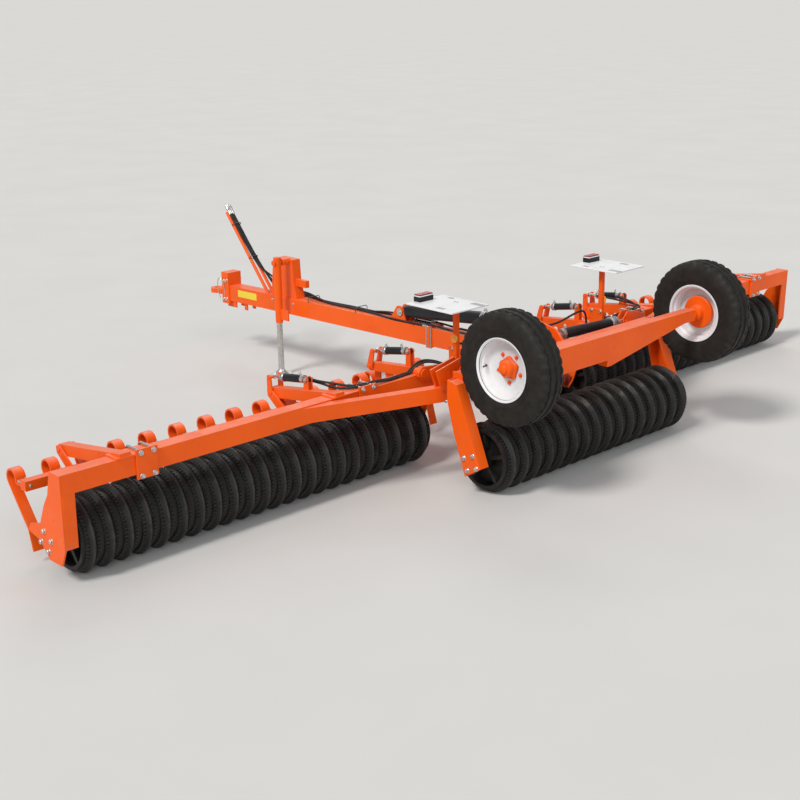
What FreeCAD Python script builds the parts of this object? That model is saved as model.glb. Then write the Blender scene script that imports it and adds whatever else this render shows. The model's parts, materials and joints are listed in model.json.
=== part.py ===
import FreeCAD, Part
import math
import os

# A towed field roller: a centre roll and two folding wing rolls of ringed segments, a tipping drawbar
# on a jack, a transport axle with two road wheels, and levelling boards of spring tines in front.
# Units are millimetres. X points forward to the hitch, Y to the left and Z up. The ground is Z = 0.
# Here X is counted from the centre roll's shaft. The files' origin is on the ground, halfway along the
# whole machine, so each sub-part moves back by MIDDLE_X as it is saved.

V = FreeCAD.Vector
SIDES = (("left", 1), ("right", -1))

# Fits: radial play of a pin in its hole, and of a rod in its barrel
PIN_FIT = 0.05
ROD_FIT = 0.5
SHEET = 12.0

# Rolls: rings of one pitch on a shaft, drawn as flat-sided cones with a corner at the bottom
RING_R = 240.0
VALLEY_R = 204.0
RING_PITCH = 125.0
RING_SIDES = 16
CENTRE_RINGS = 16
WING_RINGS = 22
SHAFT_R = 35.0
CENTRE_ROLL_X = 0.0
WING_ROLL_X = 835.0
WING_ROLL_Y = 860.0

# Centre frame
BEAM_X = (115.0, 235.0)
BEAM_Z = (680.0, 800.0)
BEAM_HALF = CENTRE_RINGS * RING_PITCH / 2 + 35.0
LEG_OUT = BEAM_HALF + 85.0
SIDE_BEAM_Y = (720.0, 800.0)
SIDE_BEAM_Z = (620.0, 720.0)
SIDE_BEAM_END = 585.0
MAST_Y = (70.0, 90.0)

# Wing hinge: an axis along X on each side, with the fold lever's rod pin and the frame's barrel pin
HINGE_Y = 960.0
HINGE_Z = 700.0
HINGE_PIN_R = 20.0
HINGE_BUSH_R = 34.0
FOLD_X = 330.0
FOLD_INNER = (123.0, 812.0)
FOLD_OUTER = (900.0, 775.0)

# Drawbar: pivot on the mast, and the tipping cylinder's barrel pin on the drawbar and rod pin on the mast
PIVOT = (450.0, 620.0)
PIVOT_PIN_R = 24.0
TIP_BARREL_PIN = (1790.0, 770.0)
TIP_ROD_PIN = (640.0, 885.0)
DRAWBAR_HALF = 60.0
DRAWBAR_DEPTH = 140.0
DRAWBAR_X = (640.0, 4030.0)
DRAWBAR_LOW = (576.0, 507.0)
EYE_X = 4300.0
EYE_Z = 562.0
EYE_BORE_R = 25.0
EYE_RING_R = 62.0

# Jack: pivot on the drawbar's post, and its lengths from the pivot down to the ground
JACK_PIVOT = (3180.0, 165.0, 990.0)
JACK_TUBE_R = 32.0
JACK_LEG_R = 26.0

# Transport axle and wheels
AXLE = (-265.0, 926.0)
AXLE_HALF = 900.0
WHEEL_Y = AXLE_HALF + 130.0
TYRE_R = 375.0
TYRE_WIDE = 200.0
FLANGE_R = 209.0
STUB_R = 25.0

# Halfway between the back of the tyres and the front of the towing eye
MIDDLE_X = (AXLE[0] - TYRE_R + EYE_X + EYE_RING_R) / 2

# Wings
WING_BEAM_X = (620.0, 720.0)
WING_BEAM_Z = (570.0, 690.0)
WING_IN = WING_ROLL_Y - 28.0
WING_LEG_OUT = WING_ROLL_Y + WING_RINGS * RING_PITCH + 110.0

# Levelling boards: tines of one pitch on a bar that swings at the front ends of the arms
TINE_PITCH = 227.0
TINE_WIDE = 66.0
LEAF = 12.0
WING_TINES = 13
INNER_TINES = 3
FIRST_INNER_TINE = 362.0
FIRST_WING_TINE = 916.0
BAR_AT = (1150.0, 480.0)
BAR_SIZE = 60.0
WING_ARMS = (3300.0, 1690.0)
INNER_ARM = 910.0
WING_BOARD_PIVOT = (1290.0, 585.0)
INNER_BOARD_PIVOT = (1150.0, 640.0)
BOARD_PIN_R = 15.0

# Each cylinder: radii of barrel, gland, rod, eye and pin, eye width, then the lengths from the barrel pin
# to the bore's start and its mouth, the gland's length, and the rod's length back from its eye
CYLINDER_COLUMNS = ("barrel", "gland", "rod", "eye", "pin", "wide", "bore", "mouth", "gland_long", "rod_long")
CYLINDERS = {
    "tip": (50.0, 58.0, 22.0, 36.0, 17.0, 52.0, 365.0, 940.0, 70.0, 761.0),
    "fold": (40.0, 50.0, 20.0, 28.0, 14.0, 20.0, 404.0, 672.0, 60.0, 346.0),
    "wing_board": (27.0, 30.0, 12.0, 18.0, 9.0, 22.0, 178.0, 272.0, 24.0, 120.0),
    "inner_board": (27.0, 30.0, 12.0, 18.0, 9.0, 22.0, 165.0, 258.0, 24.0, 118.0),
}

# Hoses: their radius, the drawbar's three and the wing's two, each a chosen route; z is counted from the
# surface that the hose lies on (the drawbar's top, or the wing beam's)
HOSE_R = 8.0
DRAWBAR_HOSES = (
    ((4040, -17, 678), (3960, -17, 582), (3830, -18, 425), (3700, -24, 268), (3610, -38, 159), (3515, -53, 52),
     (3400, -54, 14), (3250, -54, 10), (3050, -54, 12), (2880, -46, 9), (2650, -38, 10), (2430, -44, 12),
     (2200, -40, 9), (1990, -52, 10), (1760, -52, 9), (1560, -46, 10), (1492, -46, 9)),
    ((4044, 1, 683), (3965, 1, 589), (3835, 0, 432), (3705, -6, 276), (3614, -21, 182), (3517, -53, 82),
     (3400, -54, 33), (3250, -54, 28), (3045, -54, 30), (2860, -24, 18), (2640, -17, 10), (2400, -24, 12),
     (2210, -19, 9), (2080, -30, 26), (1960, -52, 30), (1750, -52, 27), (1560, -50, 28), (1492, -50, 27)),
    ((4040, 19, 678), (3960, 19, 582), (3830, 18, 425), (3702, 10, 272), (3624, 5, 206), (3519, -53, 126),
     (3400, -54, 52), (3250, -54, 46), (3040, -54, 48), (2840, -2, 30), (2620, 3, 9), (2380, -4, 14),
     (2190, 5, 10), (2060, 28, 14), (1940, 52, 12), (1740, 52, 9), (1560, 46, 10), (1492, 46, 9)),
)
WING_HOSES = (
    ((690, 1015, 8.3), (682, 1110, 9), (668, 1220, 8.3), (672, 1330, 22), (668, 1450, 22), (684, 1545, 28),
     (775, 1600, 40), (880, 1641, 42), (948, 1651, 45), (992, 1652, 46)),
    ((668, 1012, 8.3), (660, 1105, 9), (648, 1215, 8.3), (651, 1330, 22), (645, 1450, 22), (662, 1560, 24),
     (740, 1626, 20), (880, 1626, 26), (1000, 1634, 25), (1110, 1647, 22), (1178, 1650, 20)),
)

# Pins of the boards' cylinders: the barrel's and the rod's
WING_BOARD_PINS = ((936.0, 744.0), (1297.0, 692.0))
INNER_BOARD_PINS = ((774.0, 815.0), (1115.0, 755.0))


def box(xs, ys, zs):
    """A block between pairs of low and high values."""
    return Part.makeBox(xs[1] - xs[0], ys[1] - ys[0], zs[1] - zs[0], V(xs[0], ys[0], zs[0]))


def rod(start, end, radius):
    """A round bar between two points."""
    line = V(*end) - V(*start)
    return Part.makeCylinder(radius, line.Length, V(*start), line)


def pin_x(at, xs, radius):
    """A round bar along X at a place (y, z)."""
    return rod((xs[0], at[0], at[1]), (xs[1], at[0], at[1]), radius)


def pin_y(at, ys, radius):
    """A round bar along Y at a place (x, z)."""
    return rod((at[0], ys[0], at[1]), (at[0], ys[1], at[1]), radius)


def plate(outline, across, span):
    """A flat outline pushed along the axis across it; the outline's pairs are the other two axes in order."""
    place = {
        "x": lambda a, b: V(span[0], a, b),
        "y": lambda a, b: V(a, span[0], b),
        "z": lambda a, b: V(a, b, span[0]),
    }[across]
    points = [place(a, b) for a, b in outline]
    face = Part.Face(Part.makePolygon(points + points[:1]))
    push = {"x": V(1, 0, 0), "y": V(0, 1, 0), "z": V(0, 0, 1)}[across]
    return face.extrude(push * (span[1] - span[0]))


def joined(*shapes):
    """One body from overlapping or touching solids."""
    whole = shapes[0].multiFuse(list(shapes[1:])).removeSplitter()
    return whole.Solids[0] if len(whole.Solids) == 1 else whole


def less(shape, *cutters):
    """A body with holes or pockets."""
    cut = shape.cut(list(cutters)).removeSplitter()
    return cut.Solids[0] if len(cut.Solids) == 1 else cut


def on_side(shape, sign):
    """The left-hand shape itself, or its mirror on the right."""
    return shape if sign > 0 else shape.mirror(V(0, 0, 0), V(0, 1, 0))


def save(name, *shapes):
    """One file for a sub-part, which may be several solids that don't touch."""
    solids = [solid for shape in shapes for solid in shape.Solids]
    whole = solids[0] if len(solids) == 1 else Part.makeCompound(solids)
    whole.translate(V(-MIDDLE_X, 0, 0))
    whole.exportStep("parts/" + name + ".step")


def save_both(name, *shapes):
    """One sub-part whose pieces stand on both sides."""
    save(name, *shapes, *[on_side(shape, -1) for shape in shapes])


def faceted_roll(x, y_start, rings):
    """Rings as a zigzag of flat-sided cones, closed at both ends, with the shaft's ends standing out."""
    stations = [(y_start, VALLEY_R)]
    for ring in range(rings):
        y = y_start + ring * RING_PITCH
        stations.append((y + RING_PITCH / 2, RING_R))
        stations.append((y + RING_PITCH, VALLEY_R))
    loops = []
    for y, radius in stations:
        turns = [2 * math.pi * k / RING_SIDES for k in range(RING_SIDES)]
        loops.append([V(x + radius * math.sin(t), y, RING_R - radius * math.cos(t)) for t in turns])
    faces = [Part.Face(Part.makePolygon(loop + loop[:1])) for loop in (loops[0], loops[-1])]
    for low, high in zip(loops, loops[1:]):
        for k in range(RING_SIDES):
            n = (k + 1) % RING_SIDES
            corners = [low[k], low[n], high[n], high[k], low[k]]
            faces.append(Part.Face(Part.makePolygon(corners)))
    shell = Part.Shell(faces)
    shell.sewShape()
    solid = Part.Solid(shell)
    if solid.Volume < 0:
        solid.reverse()
    return solid


def roll(x, y_start, rings, shaft):
    """A roll with its shaft out to both bearings."""
    return joined(faceted_roll(x, y_start, rings), pin_y((x, RING_R), shaft, SHAFT_R))


def bearing(x, y_face, inward, tilt):
    """A flanged bearing on the roll's side of a plate: a square flange, its round housing and the bore."""
    deep = 58.0
    half = 59.0
    corners = [(half, half), (-half, half), (-half, -half), (half, -half)]
    turn = math.radians(tilt)
    square = [
        (x + a * math.cos(turn) - b * math.sin(turn), RING_R + a * math.sin(turn) + b * math.cos(turn))
        for a, b in corners
    ]
    flange = plate(square, "y", sorted((y_face, y_face + inward * 16)))
    housing = pin_y((x, RING_R), sorted((y_face, y_face + inward * deep)), 56)
    bore = pin_y((x, RING_R), (y_face - 200, y_face + 200), SHAFT_R + PIN_FIT)
    return less(joined(flange, housing), bore)


def cylinder(kind, start, end, pin_axis):
    """Barrel and rod of a cylinder between two pin centres, drawn along X and laid on its line."""
    size = dict(zip(CYLINDER_COLUMNS, CYLINDERS[kind]))
    long = (V(*end) - V(*start)).Length
    half = size["wide"] / 2
    neck = size["eye"] + 16
    barrel = joined(
        pin_y((0, 0), (-half, half), size["eye"]),
        box((0, neck + 4), (-half, half), (-size["eye"] * 0.7, size["eye"] * 0.7)),
        rod((neck, 0, 0), (size["mouth"], 0, 0), size["barrel"]),
        rod((size["mouth"] - size["gland_long"], 0, 0), (size["mouth"], 0, 0), size["gland"]),
    )
    barrel = less(
        barrel,
        pin_y((0, 0), (-half - 1, half + 1), size["pin"] + PIN_FIT),
        rod((size["bore"], 0, 0), (size["mouth"] + 1, 0, 0), size["rod"] + ROD_FIT),
    )
    ram = joined(
        rod((long - size["rod_long"], 0, 0), (long - size["eye"] * 0.6, 0, 0), size["rod"]),
        pin_y((long, 0), (-half, half), size["eye"]),
    )
    ram = less(ram, pin_y((long, 0), (-half - 1, half + 1), size["pin"] + ROD_FIT))
    ahead = (V(*end) - V(*start)).normalize()
    across = V(*pin_axis)
    turn = FreeCAD.Rotation(ahead, across, ahead.cross(across), "XYZ")
    for shape in (barrel, ram):
        shape.Placement = FreeCAD.Placement(V(*start), turn)
    return barrel, ram


def main_beam():
    """The cross beam of the centre frame, with a plate on each end."""
    beam = box(BEAM_X, (-BEAM_HALF + 10, BEAM_HALF - 10), BEAM_Z)
    end = box((BEAM_X[0] - 5, BEAM_X[1] + 5), (BEAM_HALF - 10, BEAM_HALF), (BEAM_Z[0] - 10, BEAM_Z[1] + 5))
    save("main_beam", joined(beam, end, on_side(end, -1)))


def side_beams():
    """The two beams that run forward to the wing hinges, with the hinge lugs and pins."""
    ys, zs = SIDE_BEAM_Y, SIDE_BEAM_Z
    beam = box((BEAM_X[1], SIDE_BEAM_END), ys, zs)
    lug = [(ys[0], zs[0]), (HINGE_Y - 90, 645), (HINGE_Y + 10, HINGE_Z - 49), (HINGE_Y + 48, HINGE_Z - 15)]
    lug += [(HINGE_Y + 48, HINGE_Z + 15), (HINGE_Y + 15, HINGE_Z + 48), (HINGE_Y - 20, HINGE_Z + 46)]
    lug += [(ys[1], zs[1] + 12), (ys[0], zs[1] + 12)]
    lug_spans = ((255.0, 275.0), (390.0, 405.0), (585.0, 605.0))
    lugs = [plate(lug, "x", span) for span in lug_spans]
    clear = box((BEAM_X[1] + 1, SIDE_BEAM_END), ys, (zs[1], zs[1] + 40))
    lugs = [less(piece, clear) if piece.BoundBox.XMax < SIDE_BEAM_END else piece for piece in lugs]
    hinge = (HINGE_Y, HINGE_Z)
    pins = [
        pin_x(hinge, (246.0, 405.0), HINGE_PIN_R),
        pin_x(hinge, (246.0, 256.0), HINGE_PIN_R + 12),
        pin_x(hinge, (575.0, 666.0), HINGE_PIN_R),
        pin_x(hinge, (575.0, 586.0), HINGE_PIN_R + 12),
    ]
    save_both("side_beams", joined(beam, *lugs, *pins))


def end_legs():
    """Channel legs at the ends of the centre frame, each a web, two flanges and a cap."""
    front = [(206, 768), (207, 631), (151, 425), (47, 138)]
    rear = [(-88, 219), (123, 749)]
    web = plate(front + rear, "y", (LEG_OUT - SHEET, LEG_OUT))
    inner = (BEAM_HALF, LEG_OUT - SHEET)
    front_flange = plate(front + [(x - SHEET - 1, z + 4) for x, z in reversed(front)], "y", inner)
    rear_flange = plate(rear + [(x + SHEET + 1, z - 5) for x, z in reversed(rear)], "y", inner)
    cap = plate([rear[1], front[0], (front[0][0], front[0][1] - SHEET), (rear[1][0], rear[1][1] - SHEET)], "y", inner)
    leg = joined(web, front_flange, rear_flange, cap)
    save_both("end_legs", leg)


def centre_bearings():
    """The centre roll's two flanged bearings inside the legs."""
    save_both("centre_bearings", bearing(CENTRE_ROLL_X, LEG_OUT - SHEET, -1, -22.0))


def axle_frame():
    """The transport axle's square tube on two long arms, with its stubs, a box below and a gusset."""
    ax, az = AXLE
    half = 40.0
    tube = box((ax - half, ax + half), (-AXLE_HALF, AXLE_HALF), (az - half, az + half))
    stub = pin_y(AXLE, (AXLE_HALF - 5, WHEEL_Y + 62), STUB_R)
    collar = pin_y(AXLE, (AXLE_HALF - 5, AXLE_HALF + 16), 44)
    arm_outline = [(BEAM_X[0], 800), (ax + half - 5, az + half), (ax + half - 5, az - half), (BEAM_X[0], 690)]
    arms = [plate(arm_outline, "y", (y - 30, y + 30)) for y in (-300, 300)]
    low_box = box((ax - half, ax + half - 5), (80, 620), (790, az - half))
    gusset_outline = [(100, az - half), (100, 745), (60, 745), (-780, az - half)]
    gusset = plate(gusset_outline, "x", (ax - half, ax + half - 5))
    pieces = [stub, on_side(stub, -1), collar, on_side(collar, -1)] + arms + [low_box, gusset]
    save("axle_frame", joined(tube, *pieces))


def tip_mast():
    """Two upright plates on the front of the cross beam, with the drawbar's pin and the cylinders' pins."""
    top = (TIP_ROD_PIN[0], TIP_ROD_PIN[1])
    outline = [(235, 685), (235, 800), (300, 868), (560, 925), (640, 933), (684, 905), (686, 868)]
    outline += [(560, 740), (520, 600), (485, 560), (450, 550), (410, 562), (330, 640)]
    sides = [plate(outline, "y", MAST_Y), plate(outline, "y", (-MAST_Y[1], -MAST_Y[0]))]
    pivot = pin_y(PIVOT, (-MAST_Y[1] - 14, MAST_Y[1] + 14), PIVOT_PIN_R)
    stubs = []
    lugs = []
    for sign in (1, -1):
        stubs.append(on_side(pin_y(top, (34, MAST_Y[1] + 12), 17), sign))
        fold_y, fold_z = FOLD_INNER
        for low, high in ((302.0, 314.0), (346.0, 358.0)):
            ear = [(MAST_Y[1], fold_z - 40), (fold_y + 5, fold_z - 28), (fold_y + 26, fold_z - 8)]
            ear += [(fold_y + 26, fold_z + 12), (fold_y + 5, fold_z + 28), (MAST_Y[1], fold_z + 34)]
            lugs.append(on_side(plate(ear, "x", (low, high)), sign))
        lugs.append(on_side(pin_x(FOLD_INNER, (296.0, 364.0), 14), sign))
    tie = box((240, 262), (-MAST_Y[0] - 1, MAST_Y[0] + 1), (720, 790))
    save("tip_mast", joined(*sides, pivot, *stubs, *lugs, tie))


def light_posts():
    """Posts on the side beams that carry the rear light boards."""
    foot = box((420, 540), (755, 767), (SIDE_BEAM_Z[1], 870))
    post = box((436, 470), (767, 797), (760, 1180))
    save_both("light_posts", joined(foot, post))


def light_boards():
    """Blank white boards, flat while the roller works and upright behind it on the road."""
    save_both("light_boards", box((250, 680), (680, 1030), (1180, 1190)))


def lamps():
    """A lamp box on each board."""
    save_both("lamps", box((618, 680), (830, 960), (1190, 1236)))


def reflectors():
    """A round amber reflector on each post's outer side."""
    save_both("reflectors", pin_y((453, 940), (797, 805), 30))


def wheel_profile(y_radius_pairs):
    """A turned body from a half section of (y, radius) pairs, placed on the left wheel's axis."""
    points = [V(AXLE[0], WHEEL_Y + y, AXLE[1] + radius) for y, radius in y_radius_pairs]
    face = Part.Face(Part.makePolygon(points + points[:1]))
    return face.revolve(V(AXLE[0], 0, AXLE[1]), V(0, 1, 0), 360)


def wheels():
    """Tyre, rim and hub of each road wheel."""
    half = TYRE_WIDE / 2
    tread = half * 0.72
    bead = half * 0.86
    seat = bead - 3.5
    tyre = wheel_profile([(-seat, 192), (-half, 295), (-tread, TYRE_R), (tread, TYRE_R), (half, 295), (seat, 192)])
    rim = wheel_profile([(-bead, 191.5), (-bead, FLANGE_R), (-bead - 7, FLANGE_R), (-bead - 7, 180),
                         (-40, 168), (-6, 168), (-6, 100), (6, 100), (6, 160), (40, 160),
                         (bead + 7, 180), (bead + 7, FLANGE_R), (bead, FLANGE_R), (bead, 191.5)])
    bore = pin_y(AXLE, (WHEEL_Y - 120, WHEEL_Y + 66), STUB_R + PIN_FIT)
    hub = joined(
        pin_y(AXLE, (WHEEL_Y - 90, WHEEL_Y - 6), 52),
        pin_y(AXLE, (WHEEL_Y - 40, WHEEL_Y - 6), 125),
        pin_y(AXLE, (WHEEL_Y - 6, WHEEL_Y + 40), 99.9),
        pin_y(AXLE, (WHEEL_Y + 40, WHEEL_Y + 78), 58),
    )
    hub = less(hub, bore)
    for side, sign in SIDES:
        save("tyre_" + side, on_side(tyre, sign))
        save("rim_" + side, on_side(rim, sign))
        save("hub_" + side, on_side(hub, sign))


def drawbar_low(x):
    """Height of the drawbar's underside at a place along it."""
    part = (x - DRAWBAR_X[0]) / (DRAWBAR_X[1] - DRAWBAR_X[0])
    return DRAWBAR_LOW[0] + part * (DRAWBAR_LOW[1] - DRAWBAR_LOW[0])


def drawbar():
    """The long box beam with its pivot end and the tipping cylinder's bracket."""
    x_rear, x_front = DRAWBAR_X
    px, pz = PIVOT
    low_rear, low_front = DRAWBAR_LOW
    outline = [(x_rear, low_rear), (x_front, low_front), (x_front, low_front + DRAWBAR_DEPTH)]
    outline += [(x_rear, low_rear + DRAWBAR_DEPTH), (px - 5, pz + 60), (px - 45, pz + 42)]
    outline += [(px - 62, pz), (px - 45, pz - 42), (px - 5, pz - 60)]
    beam = plate(outline, "y", (-DRAWBAR_HALF, DRAWBAR_HALF))
    bx, bz = TIP_BARREL_PIN
    top = drawbar_low(bx) + DRAWBAR_DEPTH
    ear = [(bx - 60, top - 10), (bx - 34, bz + 14), (bx - 14, bz + 42), (bx + 14, bz + 48)]
    ear += [(bx + 40, bz + 42), (bx + 130, top - 10)]
    ears = [plate(ear, "y", span) for span in ((30, 42), (-42, -30))]
    pin = pin_y(TIP_BARREL_PIN, (-50, 50), 17)
    flanges = [box((x, x + 16), (-72, 72), (drawbar_low(x) - 14, drawbar_low(x) + DRAWBAR_DEPTH + 14))
               for x in (1432, 1448)]
    bar = joined(beam, *ears, pin, *flanges)
    save("drawbar", less(bar, pin_y(PIVOT, (-90, 90), PIVOT_PIN_R + PIN_FIT)))


def hitch_head():
    """The head on the drawbar's front with the towing eye."""
    rear, front = DRAWBAR_X[1], DRAWBAR_X[1] + 100
    low, high = EYE_Z - 84, EYE_Z + 201
    head = box((rear, front), (-72, 72), (low, high))
    shank = rod((front - 10, 0, EYE_Z), (EYE_X - EYE_RING_R + 12, 0, EYE_Z), 34)
    ring = rod((EYE_X, 0, EYE_Z - 21), (EYE_X, 0, EYE_Z + 21), EYE_RING_R)
    keel = box((rear + 10, front - 10), (-20, 20), (low - 38, low + 2))
    eye = rod((EYE_X, 0, EYE_Z - 60), (EYE_X, 0, EYE_Z + 60), EYE_BORE_R)
    save("hitch_head", less(joined(head, shank, ring, keel), eye))


def jack_post():
    """The upright on the drawbar that carries the jack, with its pin and the rest for the raised jack."""
    top = DRAWBAR_DEPTH
    outline = [(3080, drawbar_low(3080) + top), (3120, 830), (3130, 1000), (3330, 1000), (3400, 900)]
    outline += [(3430, drawbar_low(3430) + top)]
    post = plate(outline, "y", (-44, 44))
    px, py, pz = JACK_PIVOT
    boss = pin_y((px, pz), (40, py - JACK_TUBE_R - 8), 30)
    pin = pin_y((px, pz), (40, py + JACK_TUBE_R + 10), 16)
    head = pin_y((px, pz), (py + JACK_TUBE_R + 4, py + JACK_TUBE_R + 12), 24)
    rest = box((2985, 3140), (-20, 20), (774, 834))
    save("jack_post", joined(post, boss, pin, head, rest))


def jack():
    """The drop leg: a tube on the pin, and the leg inside it with a round foot on the ground."""
    px, py, pz = JACK_PIVOT
    tube_low = pz - 520
    tube = joined(
        rod((px, py, tube_low), (px, py, pz + 46), JACK_TUBE_R),
        box((px - 130, px - 20), (py - 6, py + 6), (tube_low + 30, tube_low + 120)),
    )
    inside = rod((px, py, tube_low - 1), (px, py, pz - 130), JACK_LEG_R + ROD_FIT)
    cross = pin_y((px, pz), (py - 50, py + 50), 16 + PIN_FIT)
    save("jack_tube", less(tube, inside, cross))
    leg = joined(
        rod((px, py, 10), (px, py, tube_low + 90), JACK_LEG_R),
        rod((px, py, 0), (px, py, 12), 95),
        Part.makeCone(60, JACK_LEG_R, 40, V(px, py, 12)),
    )
    save("jack_leg", leg)


def hose_holder():
    """The bent bar that holds the hoses up between the drawbar and the hitch."""
    radius = 14.0
    span = 26.0
    foot = drawbar_low(3490) + DRAWBAR_DEPTH
    rear = (3500, foot - 6)
    bend = (3560, foot + 60)
    front = (4050, 1300)
    pieces = []
    for y in (-span, span):
        for start, end in ((rear, bend), (bend, front)):
            pieces.append(rod((start[0], y, start[1]), (end[0], y, end[1]), radius))
        pieces.append(Part.makeSphere(radius, V(bend[0], y, bend[1])))
        pieces.append(Part.makeSphere(radius, V(front[0], y, front[1])))
    pieces.append(rod((front[0], -span, front[1]), (front[0], span, front[1]), radius))
    trim = box((3400, 3600), (-80, 80), (foot - 60, foot))
    save("hose_holder", less(joined(*pieces), trim))


def hose(points):
    """A hose on straight runs joined by tangent arcs, each as large as its two runs allow."""
    places = [V(*point) for point in points]
    edges = []
    start = places[0]
    radii = []
    for before, at, after in zip(places, places[1:], places[2:]):
        back, ahead = (before - at), (after - at)
        reach = 0.45 * min(back.Length, ahead.Length)
        back.normalize()
        ahead.normalize()
        half_turn = (math.pi - back.getAngle(ahead)) / 2
        radius = reach / math.tan(half_turn)
        radii.append(radius)
        middle = at + (back + ahead).normalize() * (radius / math.cos(half_turn) - radius)
        edges.append(Part.LineSegment(start, at + back * reach).toShape())
        edges.append(Part.Arc(at + back * reach, middle, at + ahead * reach).toShape())
        start = at + ahead * reach
    edges.append(Part.LineSegment(start, places[-1]).toShape())
    path = Part.Wire(edges)
    end = Part.Wire(Part.makeCircle(HOSE_R, places[0], places[1] - places[0]))
    tube = path.makePipe(Part.Face(end))
    print("hose", round(path.Length), "mm, radii", [round(radius) for radius in radii],
          "volume ratio", round(tube.Volume / (math.pi * HOSE_R ** 2 * path.Length), 4))
    return tube


def drawbar_hoses():
    """Three hoses from the holder's top down beside the jack's post and along the drawbar."""
    tubes = [hose([(x, y, drawbar_low(x) + DRAWBAR_DEPTH + z) for x, y, z in route]) for route in DRAWBAR_HOSES]
    save("hoses_drawbar", *tubes)


def wing_hoses():
    """Two hoses on the left wing's beam, from the hinge to the board's cylinder."""
    return [hose([(x, y, WING_BEAM_Z[1] + z) for x, y, z in route]) for route in WING_HOSES]


def wing_beam():
    """The left wing's beam with its rear brace, both hinge bushings and the fold levers."""
    beam = box(WING_BEAM_X, (WING_IN, WING_LEG_OUT - SHEET), WING_BEAM_Z)
    brace = plate([(288, 1000), (370, 1000), (620, 1780), (620, 2010)], "z", (580, 680))
    hinge = (HINGE_Y, HINGE_Z)
    bushings = [pin_x(hinge, (282, 378), 38), pin_x(hinge, (611, 668), HINGE_BUSH_R)]
    bores = [pin_x(hinge, (270, 385), HINGE_PIN_R + PIN_FIT), pin_x(hinge, (600, 667), HINGE_PIN_R + PIN_FIT)]
    fy, fz = FOLD_OUTER
    lever = [(fy - 34, fz - 12), (fy - 34, fz + 34), (fy + 8, fz + 78), (HINGE_Y + 168, 806)]
    lever += [(HINGE_Y + 112, 662), (HINGE_Y, HINGE_Z - 38)]
    levers = [plate(lever, "x", span) for span in ((298, 308), (352, 362))]
    pins = [pin_x(FOLD_OUTER, (292, 317), 14), pin_x(FOLD_OUTER, (343, 368), 14)]
    return less(joined(beam, brace, *bushings, *levers, *pins), *bores)


def wing_legs():
    """The outer leg's bent plate and the inner hanger plate below the wing beam."""
    outline = [(620, 690), (733, 690), (774, 540), (828, 465), (892, 337), (1015, 300), (1043, 249)]
    outline += [(914, 225), (818, 131), (683, 131), (630, 240)]
    web = plate(outline, "y", (WING_LEG_OUT - SHEET, WING_LEG_OUT))
    flange = plate([(620, 570), (632, 570), (642, 240), (630, 240)], "y", (WING_LEG_OUT - 87, WING_LEG_OUT - SHEET))
    outer = joined(web, flange)
    hanger_outline = [(630, 570), (720, 570), (800, 420), (905, 300), (915, 220), (870, 165), (790, 165), (750, 230)]
    hanger = plate(hanger_outline, "y", (WING_IN, WING_IN + SHEET))
    hole = pin_y((WING_ROLL_X, RING_R), (WING_IN - 5, WING_IN + SHEET + 5), SHAFT_R + 6)
    return outer, less(hanger, hole)


def wing_bearings():
    """The wing roll's bearings: one inside the outer leg, one with a round cap on the inner hanger."""
    outer = bearing(WING_ROLL_X, WING_LEG_OUT - SHEET, -1, 28.6)
    inner = bearing(WING_ROLL_X, WING_IN, -1, 28.6)
    cap = pin_y((WING_ROLL_X, RING_R), (WING_IN - 66, WING_IN - 56), 48)
    return outer, joined(inner, cap)


def board_arm(y, base, top_rear, top_front, depth, half, pivot):
    """An arm from a clamp plate on the wing beam to the board's pivot; base is the clamp's (y, y) span."""
    (xr, zr), (xf, zf) = top_rear, top_front
    px, pz = pivot
    outline = [(xr, WING_BEAM_Z[1]), (xr, zr), (xf, zf), (xf, zf - depth), (WING_BEAM_X[1] + 40, zr - depth - 30)]
    outline += [(WING_BEAM_X[1], zr - depth - 30), (WING_BEAM_X[1], WING_BEAM_Z[1])]
    arm = plate(outline, "y", (y - half, y + half))
    tip = pin_y(pivot, (y - half, y + half), 30)
    clamp = box((WING_BEAM_X[0] - 12, WING_BEAM_X[1] + 12), base, (WING_BEAM_Z[1], WING_BEAM_Z[1] + 10))
    return less(joined(arm, tip, clamp), pin_y((px, pz), (y - 90, y + 90), BOARD_PIN_R + PIN_FIT))


def cylinder_ears(y, pin_at, foot_z, reach):
    """Two ears above an arm that hold a board cylinder's barrel pin."""
    px, pz = pin_at
    outline = [(px - 26, foot_z), (px - 20, pz + 8), (px - 8, pz + 20), (px + 8, pz + 20), (px + 20, pz + 8)]
    outline += [(px + reach, foot_z)]
    ears = [plate(outline, "y", span) for span in ((y + 13, y + 21), (y - 21, y - 13))]
    return ears + [pin_y(pin_at, (y - 26, y + 26), 9)]


def board_arms():
    """The left wing's three arms."""
    outer_y, middle_y = WING_ARMS
    outer = board_arm(outer_y, (3080, 3360), (612, 722), (1318, 612), 70, 36, WING_BOARD_PIVOT)
    middle = board_arm(middle_y, (1360, 1750), (612, 722), (1318, 618), 70, 36, WING_BOARD_PIVOT)
    middle = joined(middle, *cylinder_ears(middle_y, WING_BOARD_PINS[0], 650, 30))
    inner = board_arm(INNER_ARM, (840, 980), (612, 724), (1160, 668), 60, 30, INNER_BOARD_PIVOT)
    inner = joined(inner, *cylinder_ears(INNER_ARM, INNER_BOARD_PINS[0], 680, 24))
    hinge_room = pin_x((HINGE_Y, HINGE_Z), (WING_BEAM_X[0] - 30, WING_BEAM_X[0] + 52), HINGE_BUSH_R + 2)
    return outer, middle, less(inner, hinge_room)


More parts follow.
